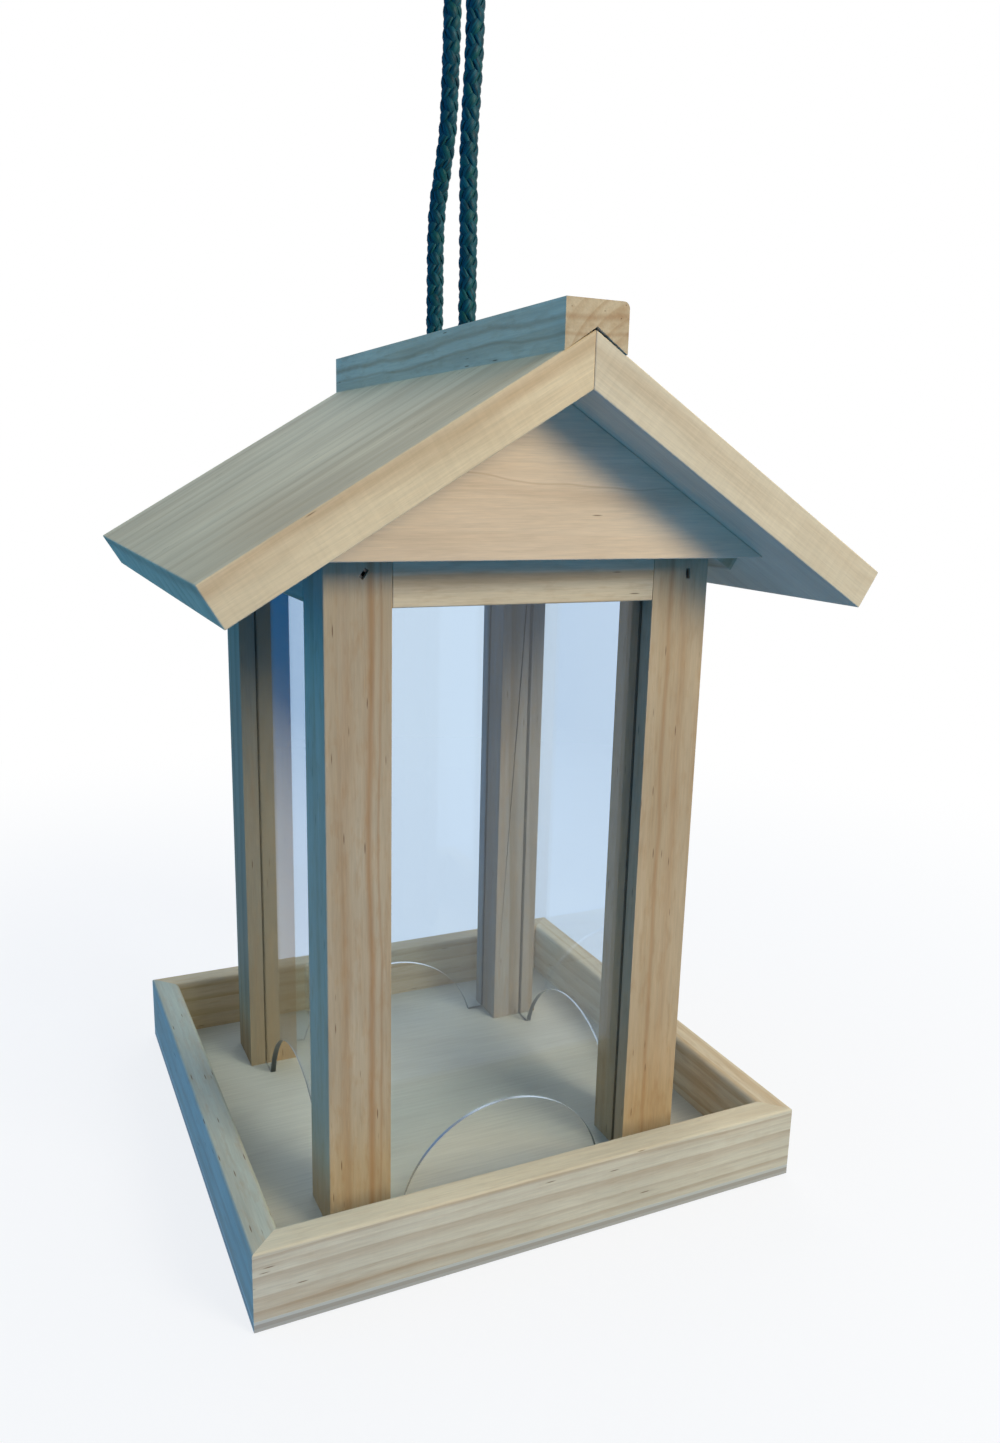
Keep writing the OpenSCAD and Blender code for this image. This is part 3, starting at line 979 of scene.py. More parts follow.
        mesh.materials.append(material)
        link_mesh("floor", mesh)


# ---- hanging cord

# Points that a smooth curve gets between two of its route's, before it is spaced evenly
PER_SPAN = 24
# Millimetres of pattern between one strand's start and the next one's, so that none look alike
PATTERN_APART = 37.0


def smooth_line(points: np.ndarray, step: float) -> np.ndarray:
    """Runs a smooth curve through points and spaces it evenly.

    Args:
        points: The route's points, one a row.
        step: Distance between the new points.

    Returns:
        The new points, with both ends kept.
    """
    before = 2 * points[0] - points[1]
    after = 2 * points[-1] - points[-2]
    held = np.vstack([before, points, after])
    fine = []
    for i in range(1, len(held) - 2):
        p0, p1, p2, p3 = held[i - 1 : i + 3]
        # Centripetal Catmull-Rom, which makes no loops between points that lie unevenly
        knots = [0.0]
        for a, b in ((p0, p1), (p1, p2), (p2, p3)):
            knots.append(knots[-1] + math.sqrt(float(np.linalg.norm(b - a))))
        t0, t1, t2, t3 = knots
        for t in np.linspace(t1, t2, PER_SPAN, endpoint=False):
            a1 = (t1 - t) / (t1 - t0) * p0 + (t - t0) / (t1 - t0) * p1
            a2 = (t2 - t) / (t2 - t1) * p1 + (t - t1) / (t2 - t1) * p2
            a3 = (t3 - t) / (t3 - t2) * p2 + (t - t2) / (t3 - t2) * p3
            b1 = (t2 - t) / (t2 - t0) * a1 + (t - t0) / (t2 - t0) * a2
            b2 = (t3 - t) / (t3 - t1) * a2 + (t - t1) / (t3 - t1) * a3
            fine.append((t2 - t) / (t2 - t1) * b1 + (t - t1) / (t2 - t1) * b2)
    line = np.vstack([fine, points[-1]])
    along = np.concatenate([[0.0], np.cumsum(np.linalg.norm(np.diff(line, axis=0), axis=1))])
    at = np.linspace(0.0, along[-1], max(2, round(along[-1] / step) + 1))
    return np.stack([np.interp(at, along, line[:, k]) for k in range(3)], axis=1)


@dataclass
class Braid:
    """An eight-strand diamond braid, four strands each way, over one and under one."""

    diameter: float = 6.0 * MM
    # One turn of a strand round the cord
    lay: float = 26.0 * MM
    step: float = 0.75 * MM
    each_way: int = 4
    # Half the thickness and half the width of a strand's flat oval
    half_thick: float = 0.72 * MM
    half_wide: float = 1.50 * MM
    # How far a strand rises and dips where it crosses the others
    rise: float = 0.42 * MM
    # Its width as a share of the full one, and how far that swings as it goes over and under
    width_share: float = 0.94
    width_swing: float = 0.10
    sides: int = 10
    # The dark core's radius, and how many of the line's points it skips
    core: float = 1.35 * MM
    core_step: int = 5

    def mesh(self, name: str, line: np.ndarray, turned: float = 0.0) -> bpy.types.Mesh:
        """Makes the braid's mesh along a line.

        Args:
            name: The mesh's name.
            line: The cord's centreline, evenly spaced.
            turned: Turn of the whole braid at the line's start, in radians.

        Returns:
            A mesh of the strands and their dark core, with a UV map named yarn.
        """
        ahead = np.gradient(line, axis=0)
        ahead /= np.linalg.norm(ahead, axis=1)[:, None]
        side = self._carried(ahead)
        other = np.cross(ahead, side)
        gone = np.concatenate([[0.0], np.cumsum(np.linalg.norm(np.diff(line, axis=0), axis=1))])
        points: list[np.ndarray] = []
        faces: list[tuple[int, ...]] = []
        uv: list[tuple[float, float]] = []
        for way in (1, -1):
            for k in range(self.each_way):
                start = 2 * math.pi * k / self.each_way + (0.0 if way > 0 else math.pi / 4)
                angle = turned + start + way * 2 * math.pi * gone / self.lay
                past = gone - self.lay / (4 * self.each_way)
                beat = np.cos(2 * math.pi * past * self.each_way / self.lay)
                radius = self.diameter / 2 - self.half_thick - self.rise + way * self.rise * beat
                out = np.cos(angle)[:, None] * side + np.sin(angle)[:, None] * other
                middle = line + radius[:, None] * out
                wide = self.half_wide * (self.width_share + self.width_swing * way * beat)
                self._tube(middle, out, wide, points, faces, uv, k + 10 * way)
        few = np.unique(np.append(np.arange(0, len(line), self.core_step), len(line) - 1))
        self._tube(
            line[few], side[few], np.full(len(few), self.core), points, faces, uv, 3.5, self.core,
        )
        mesh = bpy.data.meshes.new(name)
        mesh.from_pydata([tuple(p) for p in np.vstack(points)], [], faces)
        layer = mesh.uv_layers.new(name="yarn")
        layer.data.foreach_set("uv", np.array(uv, np.float32).ravel())
        mesh.polygons.foreach_set("use_smooth", [True] * len(mesh.polygons))
        return mesh

    @staticmethod
    def _carried(ahead: np.ndarray) -> np.ndarray:
        """Carries a side direction along the line without twist.

        Args:
            ahead: For each point, the line's direction.

        Returns:
            For each point, a direction square to it.
        """
        side = np.zeros_like(ahead)
        first = np.array([1.0, 0.0, 0.0])
        first -= first.dot(ahead[0]) * ahead[0]
        side[0] = first / np.linalg.norm(first)
        for i in range(1, len(ahead)):
            kept = side[i - 1] - side[i - 1].dot(ahead[i]) * ahead[i]
            side[i] = kept / np.linalg.norm(kept)
        return side

    def _tube(
        self, middle: np.ndarray, out: np.ndarray, wide: np.ndarray, points: list[np.ndarray],
        faces: list[tuple[int, ...]], uv: list[tuple[float, float]], luck: float,
        thick: float | None = None,
    ) -> None:
        """Adds one closed strand to the lists of points, faces and UVs.

        Args:
            middle: The strand's centreline.
            out: For each point, the direction away from the cord's middle.
            wide: For each point, half the strand's width.
            points: Points so far.
            faces: Faces so far.
            uv: One pair for each face corner so far.
            luck: A number that moves this strand's pattern off the others'.
            thick: Half the strand's thickness, where it isn't a yarn strand.
        """
        thick = self.half_thick if thick is None else thick
        ahead = np.gradient(middle, axis=0)
        ahead /= np.linalg.norm(ahead, axis=1)[:, None]
        across = np.cross(ahead, out)
        across /= np.linalg.norm(across, axis=1)[:, None]
        rise = np.cross(across, ahead)
        first = sum(len(p) for p in points)
        rings = len(middle)
        turn = 2 * math.pi * np.arange(self.sides) / self.sides
        ring = (
            middle[:, None, :]
            + (wide[:, None] * np.cos(turn)[None, :])[:, :, None] * across[:, None, :]
            + (thick * np.sin(turn))[None, :, None] * rise[:, None, :]
        )
        points.append(ring.reshape(-1, 3))
        gone = np.concatenate([[0.0], np.cumsum(np.linalg.norm(np.diff(middle, axis=0), axis=1))])
        long_mm = gone / MM + PATTERN_APART * luck
        for i in range(rings - 1):
            for j in range(self.sides):
                n = (j + 1) % self.sides
                a, b = first + i * self.sides + j, first + i * self.sides + n
                faces.append((a, b, b + self.sides, a + self.sides))
                low, high = j / self.sides, (j + 1) / self.sides
                uv += [
                    (long_mm[i], low), (long_mm[i], high), (long_mm[i + 1], high),
                    (long_mm[i + 1], low),
                ]
        last = first + (rings - 1) * self.sides
        faces.append(tuple(first + j for j in reversed(range(self.sides))))
        faces.append(tuple(last + j for j in range(self.sides)))
        uv += [(long_mm[0], 0.5)] * self.sides + [(long_mm[-1], 0.5)] * self.sides


@dataclass
class HangingCord:
    """The braided cord: up from the cord bar through the ridge, round a loop and back down."""

    braid: Braid = field(default_factory=Braid)
    finish: BraidedPolypropylene = field(default_factory=BraidedPolypropylene)
    # Height of the cord bar's underside
    bar_under: float = 208.1 * MM
    # The route in metres, in the plane X 0: [toward the back, height above the bar's underside]
    route: tuple[tuple[float, float], ...] = (
        (0.01375, 0.0), (0.01375, 0.014), (0.01375, 0.032), (0.01375, 0.052),
        (0.01375, 0.072), (0.01375, 0.090), (0.01375, 0.100), (0.0133, 0.106),
        (0.0126, 0.1105), (0.0112, 0.115), (0.0086, 0.121), (0.0062, 0.127),
        (0.0043, 0.133), (0.0032, 0.141), (0.0025, 0.150), (0.0019, 0.162),
        (0.0018, 0.174), (0.003, 0.182), (0.0052, 0.191), (0.0035, 0.1973),
        (-0.001, 0.2018), (-0.0073, 0.2035), (-0.0136, 0.2018), (-0.0181, 0.1973),
        (-0.0198, 0.191), (-0.0178, 0.182), (-0.0166, 0.174), (-0.0162, 0.162),
        (-0.0158, 0.150), (-0.0149, 0.142), (-0.0139, 0.134), (-0.013, 0.126),
        (-0.0129, 0.117), (-0.0134, 0.106), (-0.01375, 0.090), (-0.01375, 0.066),
        (-0.01375, 0.042), (-0.01375, 0.020), (-0.01375, 0.0),
    )  # fmt: skip
    # An overhand knot pulled tight, in cord diameters from its middle, from top to tail
    knot: tuple[Vec, ...] = (
        (0.0, 0.04, 1.55), (-0.03, 0.08, 1.12), (-0.13, 0.04, 0.63), (-0.29, -0.12, 0.35),
        (-0.39, -0.51, 0.03), (-0.17, -0.81, -0.36), (0.22, -0.84, -0.72), (0.63, -0.59, -0.97),
        (0.87, -0.12, -1.06), (0.85, 0.41, -0.98), (0.61, 0.81, -0.72), (0.23, 0.96, -0.38),
        (-0.19, 0.9, -0.05), (-0.62, 0.81, 0.28), (-0.93, 0.56, 0.63), (-1.01, 0.12, 0.92),
        (-0.84, -0.37, 1.06), (-0.45, -0.74, 1.02), (0.03, -0.86, 0.81), (0.4, -0.73, 0.45),
        (0.55, -0.4, 0.06), (0.37, -0.04, -0.29), (0.04, 0.07, -0.66), (-0.07, 0.06, -1.13),
        (0.0, 0.02, -1.5), (0.0, 0.0, -1.85),
    )  # fmt: skip
    knot_width: float = 5.3 * MM
    knot_squash: float = 0.78
    # The knot's highest turn, in cord diameters over its middle
    knot_high: float = 1.06

    def build(self) -> None:
        material = self.finish.build()
        points = np.array([(0.0, y, self.bar_under + z) for y, z in self.route])
        line = smooth_line(points, self.braid.step)
        mesh = self.braid.mesh("hanging_cord_braid", line)
        mesh.materials.append(material)
        cord = put_in_place("hanging_cord_braid", mesh, "cord", "house")
        knots = self._knots(material)

    def _knots(self, material: Material) -> bpy.types.Object:
        """Ties the two stopper knots under the cord bar.

        Args:
            material: The cord's finish.

        Returns:
            One object that holds both knots.
        """
        tight = Braid(
            diameter=5.4 * MM, step=0.7 * MM, half_thick=0.66 * MM, half_wide=1.38 * MM,
            core=1.2 * MM,
        )
        shape = np.array(self.knot) * self.knot_width
        shape[:, 2] *= self.knot_squash
        body_top = self.knot_high * self.knot_width * self.knot_squash + tight.diameter / 2
        bm = bmesh.new()
        for end, mirror in ((1, 1), (-1, -1)):
            placed = shape * (mirror, 1, 1)
            placed[:, 1] += end * abs(self.route[0][0])
            placed[:, 2] += self.bar_under - body_top
            knot = tight.mesh("knot", smooth_line(placed, tight.step))
            bm.from_mesh(knot)
            bpy.data.meshes.remove(knot)
        mesh = bpy.data.meshes.new("stopper_knots")
        bm.to_mesh(mesh)
        bm.free()
        mesh.polygons.foreach_set("use_smooth", [True] * len(mesh.polygons))
        mesh.materials.append(material)
        return put_in_place("stopper_knots", mesh, "cord_knots", "house")


# ---- sub-assemblies


def pine(
    node: str, part: str, grain: Grain, pith: tuple[float, float], ring: float,
    wood: str = "planed", slot: str = "pine", ease: float = Board.ease, **look: object,
) -> Board:
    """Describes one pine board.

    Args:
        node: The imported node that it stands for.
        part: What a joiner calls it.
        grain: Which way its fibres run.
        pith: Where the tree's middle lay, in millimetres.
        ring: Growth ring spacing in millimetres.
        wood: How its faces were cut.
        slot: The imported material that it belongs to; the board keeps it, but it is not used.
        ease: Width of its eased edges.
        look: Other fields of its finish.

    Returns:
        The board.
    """
    return Board(
        node, PlanedPine(f"{wood} radiata pine, {part}", grain, pith, ring, **look), slot, ease,
    )


@dataclass
class Joinery:
    """Boards that are fixed to one another and ride on one body."""

    boards: tuple[Board, ...] = ()
    body: str = "house"

    def build(self, frame: dict) -> None:
        """Builds the boards on the frame."""
        for board in self.boards:
            board.build(frame, self.body)


@dataclass
class Tray(Joinery):
    """The plywood floor and the four mitred rails round it."""

    boards: tuple[Board, ...] = (
        Board("base_board", PinePlywood(), "plywood", 0.15 * MM),
        # The band 10.7 mm up through this rail lies on its top face and is painted light: a warm
        # tan tint that stands in for the warm key light on the top, which the front face doesn't
        # get
        pine(
            "tray_rail_front", "front tray rail", Grain.ALONG_X, (-12.0, -78.0), 4.6, rings=0.6,
            mottle=0.15, bands=((1, 10.7, 1.4, 0.12),), band_sway=0.6, lean=(0.4, 0.9), wander=7.0,
            saw=0.1, early="#DED3B4", late="#B8A080",
        ),
        pine(
            "tray_rail_back", "back tray rail", Grain.ALONG_X, (20.0, 60.0), 6.0, early="#CEBB98",
            late="#B5986E",
        ),
        # This rail's grey-green colour is partly its own tone and partly painted shade and cool
        # light: it is greyer and greener than the other rails' to stand in for the house's shadow
        # and the blue light from the left that fall on it
        pine(
            "tray_rail_left", "left tray rail", Grain.ALONG_Y, (-40.0, -30.0), 7.5, lean=(0.2, 0.5),
            rings=0.5, open_canals=0.9, early="#BABDAA", late="#A99F88",
        ),
        pine(
            "tray_rail_right", "right tray rail", Grain.ALONG_Y, (30.0, -40.0), 5.0,
            early="#DDCDAC", late="#C3A77D",
        ),
    )


@dataclass
class House(Joinery):
    """The four posts, the top rails between them and the bar that carries the cord."""

    boards: tuple[Board, ...] = (
        pine(
            "post_front_left", "front left post", Grain.ALONG_Z, (-58.0, 36.0), 11.0, rings=0.35,
            lean=(0.3, 0.2), open_canals=0.7, mottle=0.45,
            bands=((0, 3.6, 1.8, 0.65), (0, 6.6, 0.7, 0.4), (0, -4.5, 2.5, 0.22)), early="#BFAC8B",
            late="#A9895E",
        ),
        pine(
            "post_front_right", "front right post", Grain.ALONG_Z, (62.0, 40.0), 11.0, rings=0.35,
            lean=(-0.2, 0.3), open_canals=0.8, mottle=0.4,
            bands=((0, -3.0, 1.4, 0.45), (0, 2.4, 3.0, 0.2)), early="#C4AC86", late="#AC8C5F",
        ),
        pine(
            "post_back_left", "back left post", Grain.ALONG_Z, (-20.0, -70.0), 9.0, early="#A89577",
            late="#937856",
        ),
        pine(
            "post_back_right", "back right post", Grain.ALONG_Z, (45.0, -50.0), 10.0,
            early="#A89E8F", late="#938168",
        ),
        pine(
            "top_rail_front", "front top rail", Grain.ALONG_X, (15.0, -60.0), 10.0, lean=(0.2, 0.6),
            open_canals=0.3, early="#DECBA5", late="#C4A579",
        ),
        pine("top_rail_back", "back top rail", Grain.ALONG_X, (-15.0, 50.0), 8.0),
        pine("top_rail_left", "left top rail", Grain.ALONG_Y, (-50.0, 20.0), 9.0),
        pine("top_rail_right", "right top rail", Grain.ALONG_Y, (50.0, -25.0), 8.5),
        pine("cord_bar", "cord bar", Grain.ALONG_X, (10.0, -45.0), 7.0),
    )


@dataclass
class Glazing:
    """The four clear panes, each with a feeding arch routed into its foot."""

    finish: ClearAcrylic = field(default_factory=ClearAcrylic)
    # The axis that each pane faces along, 0 for X and 1 for Y
    facing: tuple[tuple[str, int], ...] = (
        ("pane_front", 1), ("pane_back", 1), ("pane_left", 0), ("pane_right", 0),
    )
    # A face whose normal has at least this share along that axis is the sheet's, not its edge's
    face_on: float = 0.99
    ease: float = 0.10 * MM

    def build(self, frame: dict) -> None:
        """Builds the panes, each with clear faces and matt edges.

        Args:
            frame: The loaded frame.
        """
        clear, routed = self.finish.build(), self.finish.build_edge()
        for node, axis in self.facing:
            mesh = eased_copy(frame["nodes"][node].data, node + "_sheet", self.ease)
            mesh.materials.append(clear)
            mesh.materials.append(routed)
            for face in mesh.polygons:
                face.material_index = 0 if abs(face.normal[axis]) > self.face_on else 1
            put_in_place(mesh.name, mesh, node, "house")


@dataclass
class Roof(Joinery):
    """The two roof boards, the gables, the ridge cap and the locating battens."""

    boards: tuple[Board, ...] = (
        pine(
            "roof_board_left", "left roof board", Grain.DOWN_LEFT_SLOPE, (-150.0, -55.0), 14.0,
            wood="sawn", slot="roof_pine", lean=(0.3, 0.4), rings=0.4, streaks=0.3, mottle=0.10,
            saw=0.4, bands=((1, 2.4, 3.0, 0.35),), wander=6.0, open_canals=0.25, early="#E3CCA0",
            late="#BFA278",
        ),
        pine(
            "roof_board_right", "right roof board", Grain.DOWN_RIGHT_SLOPE, (140.0, -60.0), 10.0,
            wood="sawn", slot="roof_pine", lean=(0.3, 0.4), rings=0.3, streaks=0.25, mottle=0.10,
            saw=0.4, open_canals=0.2, early="#E4D3AE", late="#CDB48C",
        ),
        pine(
            "gable_front", "front gable", Grain.ALONG_X, (-25.0, -70.0), 9.0, lean=(0.5, 1.0),
            rings=0.16, streaks=0.15, mottle=0.07, wander=9.0, open_canals=0.15,
            bands=((1, -1.0, 0.45, 0.28), (1, -3.5, 3.0, 0.14)), band_sway=11.0, early="#EACFA8",
            late="#CFAD84",
        ),
        pine(
            "gable_back", "back gable", Grain.ALONG_X, (20.0, 70.0), 8.0, rings=0.5, wander=8.0,
            early="#D6C29C", late="#BFA076",
        ),
        pine(
            "ridge_cap", "ridge cap", Grain.ALONG_Y, (-24.0, 26.0), 3.6, lean=(0.2, 0.4), rings=0.5,
            bands=((0, 1.5, 1.3, 0.4), (0, -2.5, 0.8, 0.35), (1, 6.5, 1.5, 0.12)), band_sway=6.0,
            wander=3.0, open_canals=0.3, early="#D7C5A0", late="#AF8A5D",
        ),
        pine("batten_left", "left batten", Grain.ALONG_Y, (-30.0, 15.0), 6.0, ease=0.25 * MM),
        pine("batten_right", "right batten", Grain.ALONG_Y, (25.0, -35.0), 6.0, ease=0.25 * MM),
    )
    body: str = "roof"


@dataclass
class FlatWireBrad:
    """A T-headed brad of flat wire, driven down from a face at Z 0 with its head across Y."""

    wire: float = 1.3 * MM
    shank: float = 1.4 * MM
    head_wide: float = 3.0 * MM
    head_thick: float = 0.9 * MM
    sink: float = 1.2 * MM
    point: float = 2.0 * MM
    tip: float = 0.15 * MM
    # The shank's width and its square point's reach, as shares of the wire's width
    shank_share: float = 0.98
    point_share: float = 0.68

    def template(self, tree: Tree, length: Socket) -> bpy.types.Node:
        """Draws one brad with nodes.

        Args:
            tree: The Geometry Nodes tree.
            length: The brad's length under its sunk head's top.

        Returns:
            The node that joins the head, the shank and the point.
        """
        head = add(
            tree, "GeometryNodeMeshCube", {"Size": (self.wire, self.head_wide, self.head_thick)},
        )
        head = add(
            tree, "GeometryNodeTransform",
            {"Geometry": head, "Translation": (0.0, 0.0, -self.sink - self.head_thick / 2)},
        )
        straight = add(tree, "Math", {0: length, 1: self.point}, operation="SUBTRACT")
        size = add(
            tree, "CombineXYZ", {"X": self.wire * self.shank_share, "Y": self.shank, "Z": straight},
        )
        middle = add(tree, "Math", {0: straight, 1: -0.5, 2: -self.sink}, operation="MULTIPLY_ADD")
        shank = add(
            tree, "GeometryNodeTransform",
            {
                "Geometry": add(tree, "GeometryNodeMeshCube", {"Size": size}),
                "Translation": add(tree, "CombineXYZ", {"Z": middle}),
            },
        )
        tip_at = add(tree, "Math", {0: straight, 1: -1.0, 2: -self.sink}, operation="MULTIPLY_ADD")
        tip = add(
            tree, "GeometryNodeMeshCone",
            {
                "Vertices": 4, "Radius Top": self.tip,
                "Radius Bottom": self.wire * self.point_share, "Depth": self.point,
            },
        )
        tip = add(
            tree, "GeometryNodeTransform",
            {
                "Geometry": tip, "Translation": add(tree, "CombineXYZ", {"Z": tip_at}),
                "Rotation": (math.pi, 0.0, math.pi / 4),
            },
        )
        joined = add(tree, "GeometryNodeJoinGeometry").node
        for part in (head, shank, tip):
            tree.links.new(part, joined.inputs[0])
        return joined


@dataclass
class CountersunkScrew:
    """A countersunk wood screw with a cross recess, driven up from a face at Z 0."""

    head: float = 3.4 * MM
    shank: float = 1.6 * MM
    sink: float = 0.2 * MM
    recess: Vec = (3.6 * MM, 0.9 * MM, 2.4 * MM)
    point: float = 3.0 * MM
    tip: float = 0.1 * MM
    sides: int = 32

    def template(self, tree: Tree, length: Socket) -> bpy.types.Node:
        """Draws one screw with nodes.

        Args:
            tree: The Geometry Nodes tree.
            length: The screw's whole length.

        Returns:
            The node that joins the recessed head, the shank and the point.
        """
        taper = self.head - self.shank
        head = add(
            tree, "GeometryNodeMeshCone",
            {
                "Vertices": self.sides, "Radius Top": self.shank, "Radius Bottom": self.head,
                "Depth": taper,
            },
        )
        recessed = add(tree, "GeometryNodeMeshBoolean", {0: head}, operation="DIFFERENCE").node
        for turn in (0.0, math.pi / 2):
            slot = add(tree, "GeometryNodeMeshCube", {"Size": self.recess})
            cutter = add(
                tree, "GeometryNodeTransform", {"Geometry": slot, "Rotation": (0.0, 0.0, turn)},
            )
            tree.links.new(cutter, recessed.inputs[1])
        head = add(
            tree, "GeometryNodeTransform",
            {"Geometry": recessed.outputs[0], "Translation": (0.0, 0.0, self.sink)},
        )
        straight = add(tree, "Math", {0: length, 1: taper + self.point}, operation="SUBTRACT")
        shank = add(
            tree, "GeometryNodeMeshCylinder",
            {"Vertices": self.sides, "Radius": self.shank, "Depth": straight},
        )
        middle = add(
            tree, "Math", {0: straight, 1: 0.5, 2: self.sink + taper}, operation="MULTIPLY_ADD",
        )
        shank = add(
            tree, "GeometryNodeTransform",
            {"Geometry": shank, "Translation": add(tree, "CombineXYZ", {"Z": middle})},
        )
        tip_at = add(tree, "Math", {0: straight, 1: self.sink + taper}, operation="ADD")
        tip = add(
            tree, "GeometryNodeMeshCone",
            {
                "Vertices": self.sides, "Radius Top": self.tip, "Radius Bottom": self.shank,
                "Depth": self.point,
            },
        )
        tip = add(
            tree, "GeometryNodeTransform",
            {"Geometry": tip, "Translation": add(tree, "CombineXYZ", {"Z": tip_at})},
        )
        joined = add(tree, "GeometryNodeJoinGeometry").node
        for part in (head, shank, tip):
            tree.links.new(part, joined.inputs[0])
        return joined


@dataclass
class FastenerSet:
    """Fasteners of one node: where each one is, and the nodes that draw it there."""

    node: str
    body: str
    shape: FlatWireBrad | CountersunkScrew
    length: float
    # For each fastener, its face point and its turn from the template's own axes
    places: list[tuple[Vector, Matrix]]

    def build(self, steel: Material) -> None:
        """Builds one plain mesh of all of them and hides the node that it stands for.

        Args:
            steel: Their finish.
        """
        tree = bpy.data.node_groups.new(self.node + " on points", "GeometryNodeTree")
        for name, kind in (
            ("Places", "NodeSocketGeometry"), ("Length", "NodeSocketFloat"),
            ("Finish", "NodeSocketMaterial"),
        ):
            tree.interface.new_socket(name=name, in_out="INPUT", socket_type=kind)
        tree.interface.new_socket(
            name="Fasteners", in_out="OUTPUT", socket_type="NodeSocketGeometry",
        )
        given = add(tree, "NodeGroupInput").node
        turn = add(
            tree, "FunctionNodeEulerToRotation",
            {
                "Euler": add(
                    tree, "GeometryNodeInputNamedAttribute", {"Name": "turn"}, out="Attribute",
                    data_type="FLOAT_VECTOR",
                )
            },
        )
        points = add(tree, "GeometryNodeMeshToPoints", {"Mesh": given.outputs["Places"]})
        template = self.shape.template(tree, given.outputs["Length"])
        driven = add(
            tree, "GeometryNodeInstanceOnPoints",
            {"Points": points, "Instance": template.outputs[0], "Rotation": turn},
        )
        real = add(tree, "GeometryNodeRealizeInstances", {"Geometry": driven})
        dressed = add(
            tree, "GeometryNodeSetMaterial",
            {"Geometry": real, "Material": given.outputs["Finish"]},
        )
        add(tree, "NodeGroupOutput", {0: dressed})

        seeds = bpy.data.meshes.new(self.node + " places")
        seeds.from_pydata([point for point, _ in self.places], [], [])
        turns = seeds.attributes.new("turn", "FLOAT_VECTOR", "POINT")
        for i, (_, matrix) in enumerate(self.places):
            turns.data[i].vector = matrix.to_euler()
        holder = link_mesh(self.node + " holder", seeds)
        modifier = holder.modifiers.new("fasteners", "NODES")
        modifier.node_group = tree
        sockets = {item.name: item.identifier for item in tree.interface.items_tree}
        modifier[sockets["Length"]] = self.length
        modifier[sockets["Finish"]] = steel
        graph = bpy.context.evaluated_depsgraph_get()
        mesh = bpy.data.meshes.new_from_object(holder.evaluated_get(graph), depsgraph=graph)
        mesh.name = self.node + "_steel"
        holder.modifiers.remove(modifier)
        bpy.data.objects.remove(holder)
        put_in_place(mesh.name, mesh, self.node, self.body)


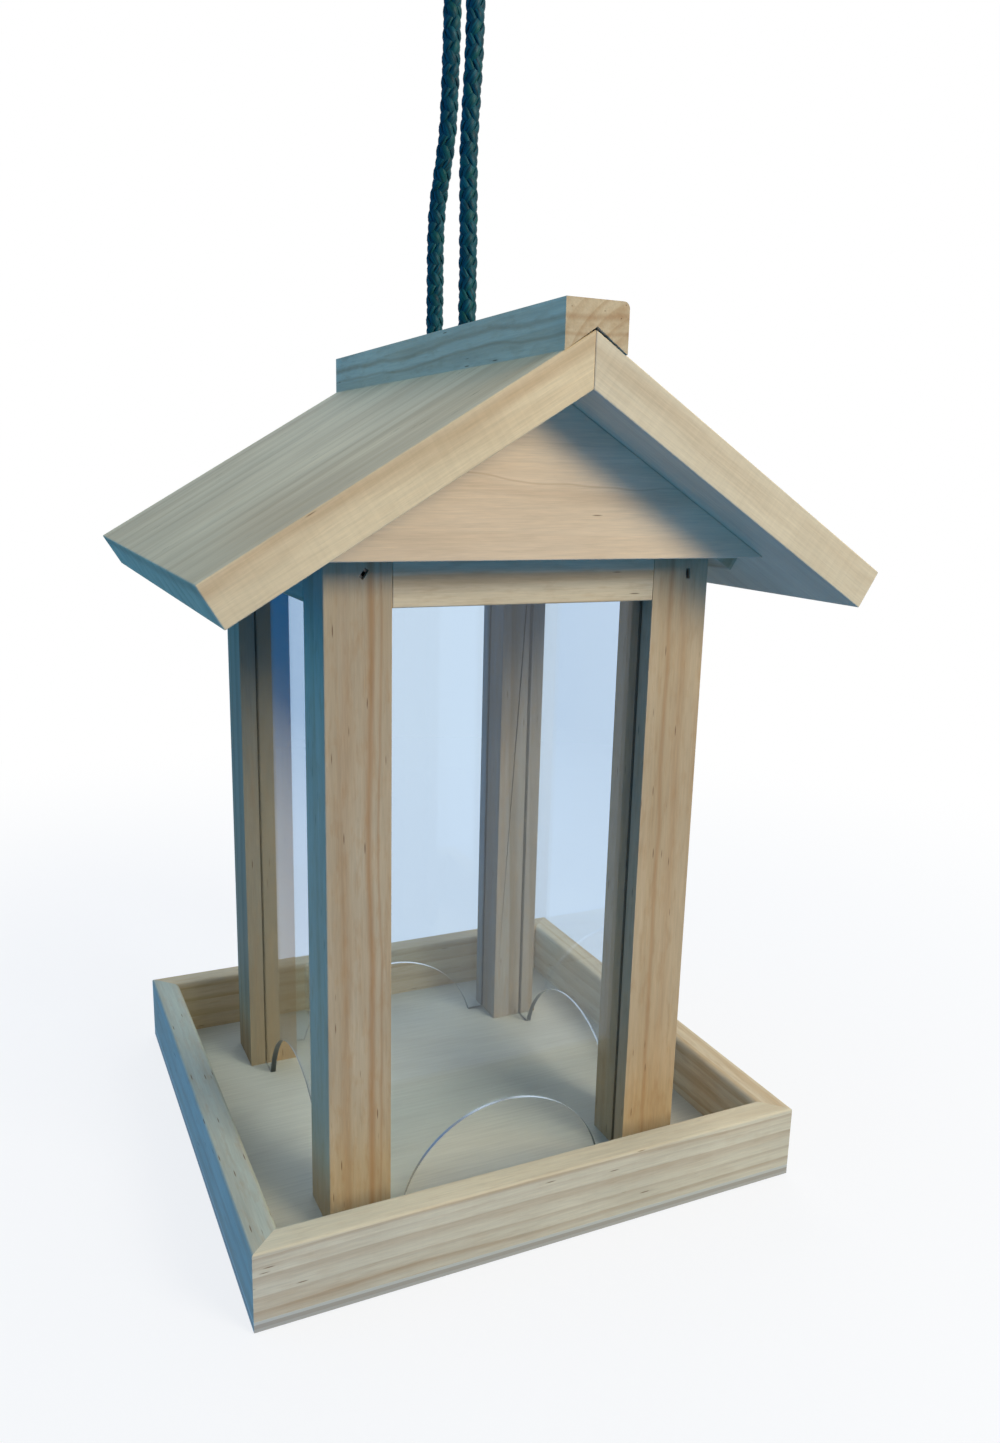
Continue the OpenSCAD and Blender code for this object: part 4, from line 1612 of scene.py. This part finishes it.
@dataclass
class Fasteners:
    """The brads at the post heads, cord bar, tray and battens, and the screws under the posts."""

    finish: DrawnSteel = field(default_factory=DrawnSteel)
    house: tuple[float, float] = (125.5 * MM, 127.5 * MM)
    post: float = 20.0 * MM
    post_top: float = 217.6 * MM
    # From a post's top down to the brads through it
    brad_down: float = 10.0 * MM
    tray: tuple[float, float] = (186.0 * MM, 183.0 * MM)
    tray_rail: float = 9.5 * MM
    tray_spacing: float = 110.0 * MM
    bar_spacing: float = 24.0 * MM
    bar_middle: float = 212.85 * MM
    batten_spacing: float = 90.0 * MM
    # Height of the roof's underside at the ridge, and a batten's place down it and thickness
    under_peak: float = 256.353 * MM
    batten_down: float = 82.14 * MM
    batten_thick: float = 5.5 * MM
    # Post head brads as driven: side, front or back, shift across and up, and lean in degrees
    frame_brads: tuple[tuple[float, float, float, float, float], ...] = (
        (-1, -1, 1.7, -0.3, -35), (1, -1, 2.6, -1.8, 3), (-1, 1, -1.2, 0.6, 8),
        (1, 1, 0.8, -0.9, -12),
    )

    def build(self) -> None:
        """Builds every fastener."""
        steel = self.finish.build()
        brad = FlatWireBrad()
        for group in (
            FastenerSet("frame_brads", "house", brad, 38 * MM, self._post_heads()),
            FastenerSet("bar_brads", "house", brad, 34 * MM, self._bar_ends()),
            FastenerSet("tray_brads", "house", brad, 16 * MM, self._tray()),
            FastenerSet("batten_brads", "roof", brad, 12 * MM, self._battens()),
            FastenerSet("base_screws", "house", CountersunkScrew(), 22 * MM, self._screws()),
        ):
            group.build(steel)

    def _post_heads(self) -> list[tuple[Vector, Matrix]]:
        """Works out where the brads through the front and back of the posts' heads are.

        Returns:
            For each brad, its face point and its turn.
        """
        places = []
        for side, end, across, up, lean in self.frame_brads:
            point = Vector(
                (
                    side * (self.house[0] - self.post) / 2 + across * MM, end * self.house[1] / 2,
                    self.post_top - self.brad_down + up * MM,
                )
            )
            turn = Matrix.Rotation(-end * math.pi / 2, 3, "X")
            places.append((point, turn @ Matrix.Rotation(math.radians(lean), 3, "Z")))
        return places

    def _bar_ends(self) -> list[tuple[Vector, Matrix]]:
        """Returns the places of the brads through the side rails into the cord bar."""
        return [
            (
                Vector((side * self.house[0] / 2, end * self.bar_spacing / 2, self.bar_middle)),
                Matrix.Rotation(side * math.pi / 2, 3, "Y"),
            )
            for side in (-1, 1)
            for end in (-1, 1)
        ]

    def _tray(self) -> list[tuple[Vector, Matrix]]:
        """Works out where the brads through the base board into the tray rails are.

        Returns:
            For each brad, its face point and its turn.
        """
        over = Matrix.Rotation(math.pi, 3, "X")
        places = []
        for end in (-1, 1):
            for at in (-1, 1):
                along = at * self.tray_spacing / 2
                out_x = end * (self.tray[0] - self.tray_rail) / 2
                out_y = end * (self.tray[1] - self.tray_rail) / 2
                places.append(
                    (Vector((along, out_y, 0.0)), over @ Matrix.Rotation(math.pi / 2, 3, "Z"))
                )
                places.append((Vector((out_x, along, 0.0)), over))
        return places

    def _battens(self) -> list[tuple[Vector, Matrix]]:
        """Works out where the brads through the battens into the roof boards are.

        Returns:
            For each brad, its face point and its turn.
        """
        places = []
        for side in (-1, 1):
            slope = Matrix.Rotation(side * ROOF_PITCH, 3, "Y")
            for at in (-1, 1):
                point = slope @ Vector((side * self.batten_down, 0.0, -self.batten_thick))
                point += Vector((0.0, at * self.batten_spacing / 2, self.under_peak))
                places.append((point, slope @ Matrix.Rotation(math.pi, 3, "X")))
        return places

    def _screws(self) -> list[tuple[Vector, Matrix]]:
        """Returns the places of the screws through the base board into the posts."""
        out_x, out_y = ((wide - self.post) / 2 for wide in self.house)
        return [
            (
                Vector((side * out_x, end * out_y, 0.0)),
                # Each one stopped where it was tight, so their recesses are turned unevenly
                Matrix.Rotation(math.radians(20 + 35 * side + 15 * end), 3, "Z"),
            )
            for side in (-1, 1)
            for end in (-1, 1)
        ]


def main() -> None:
    """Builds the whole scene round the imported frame."""
    logging.basicConfig(level=logging.INFO, format="%(name)s: %(message)s")
    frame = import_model()
    Studio().build()
    HangingCord().build()
    Tray().build(frame)
    House().build(frame)
    Glazing().build(frame)
    Roof().build(frame)
    Fasteners().build()


if __name__ == "__main__":
    main()
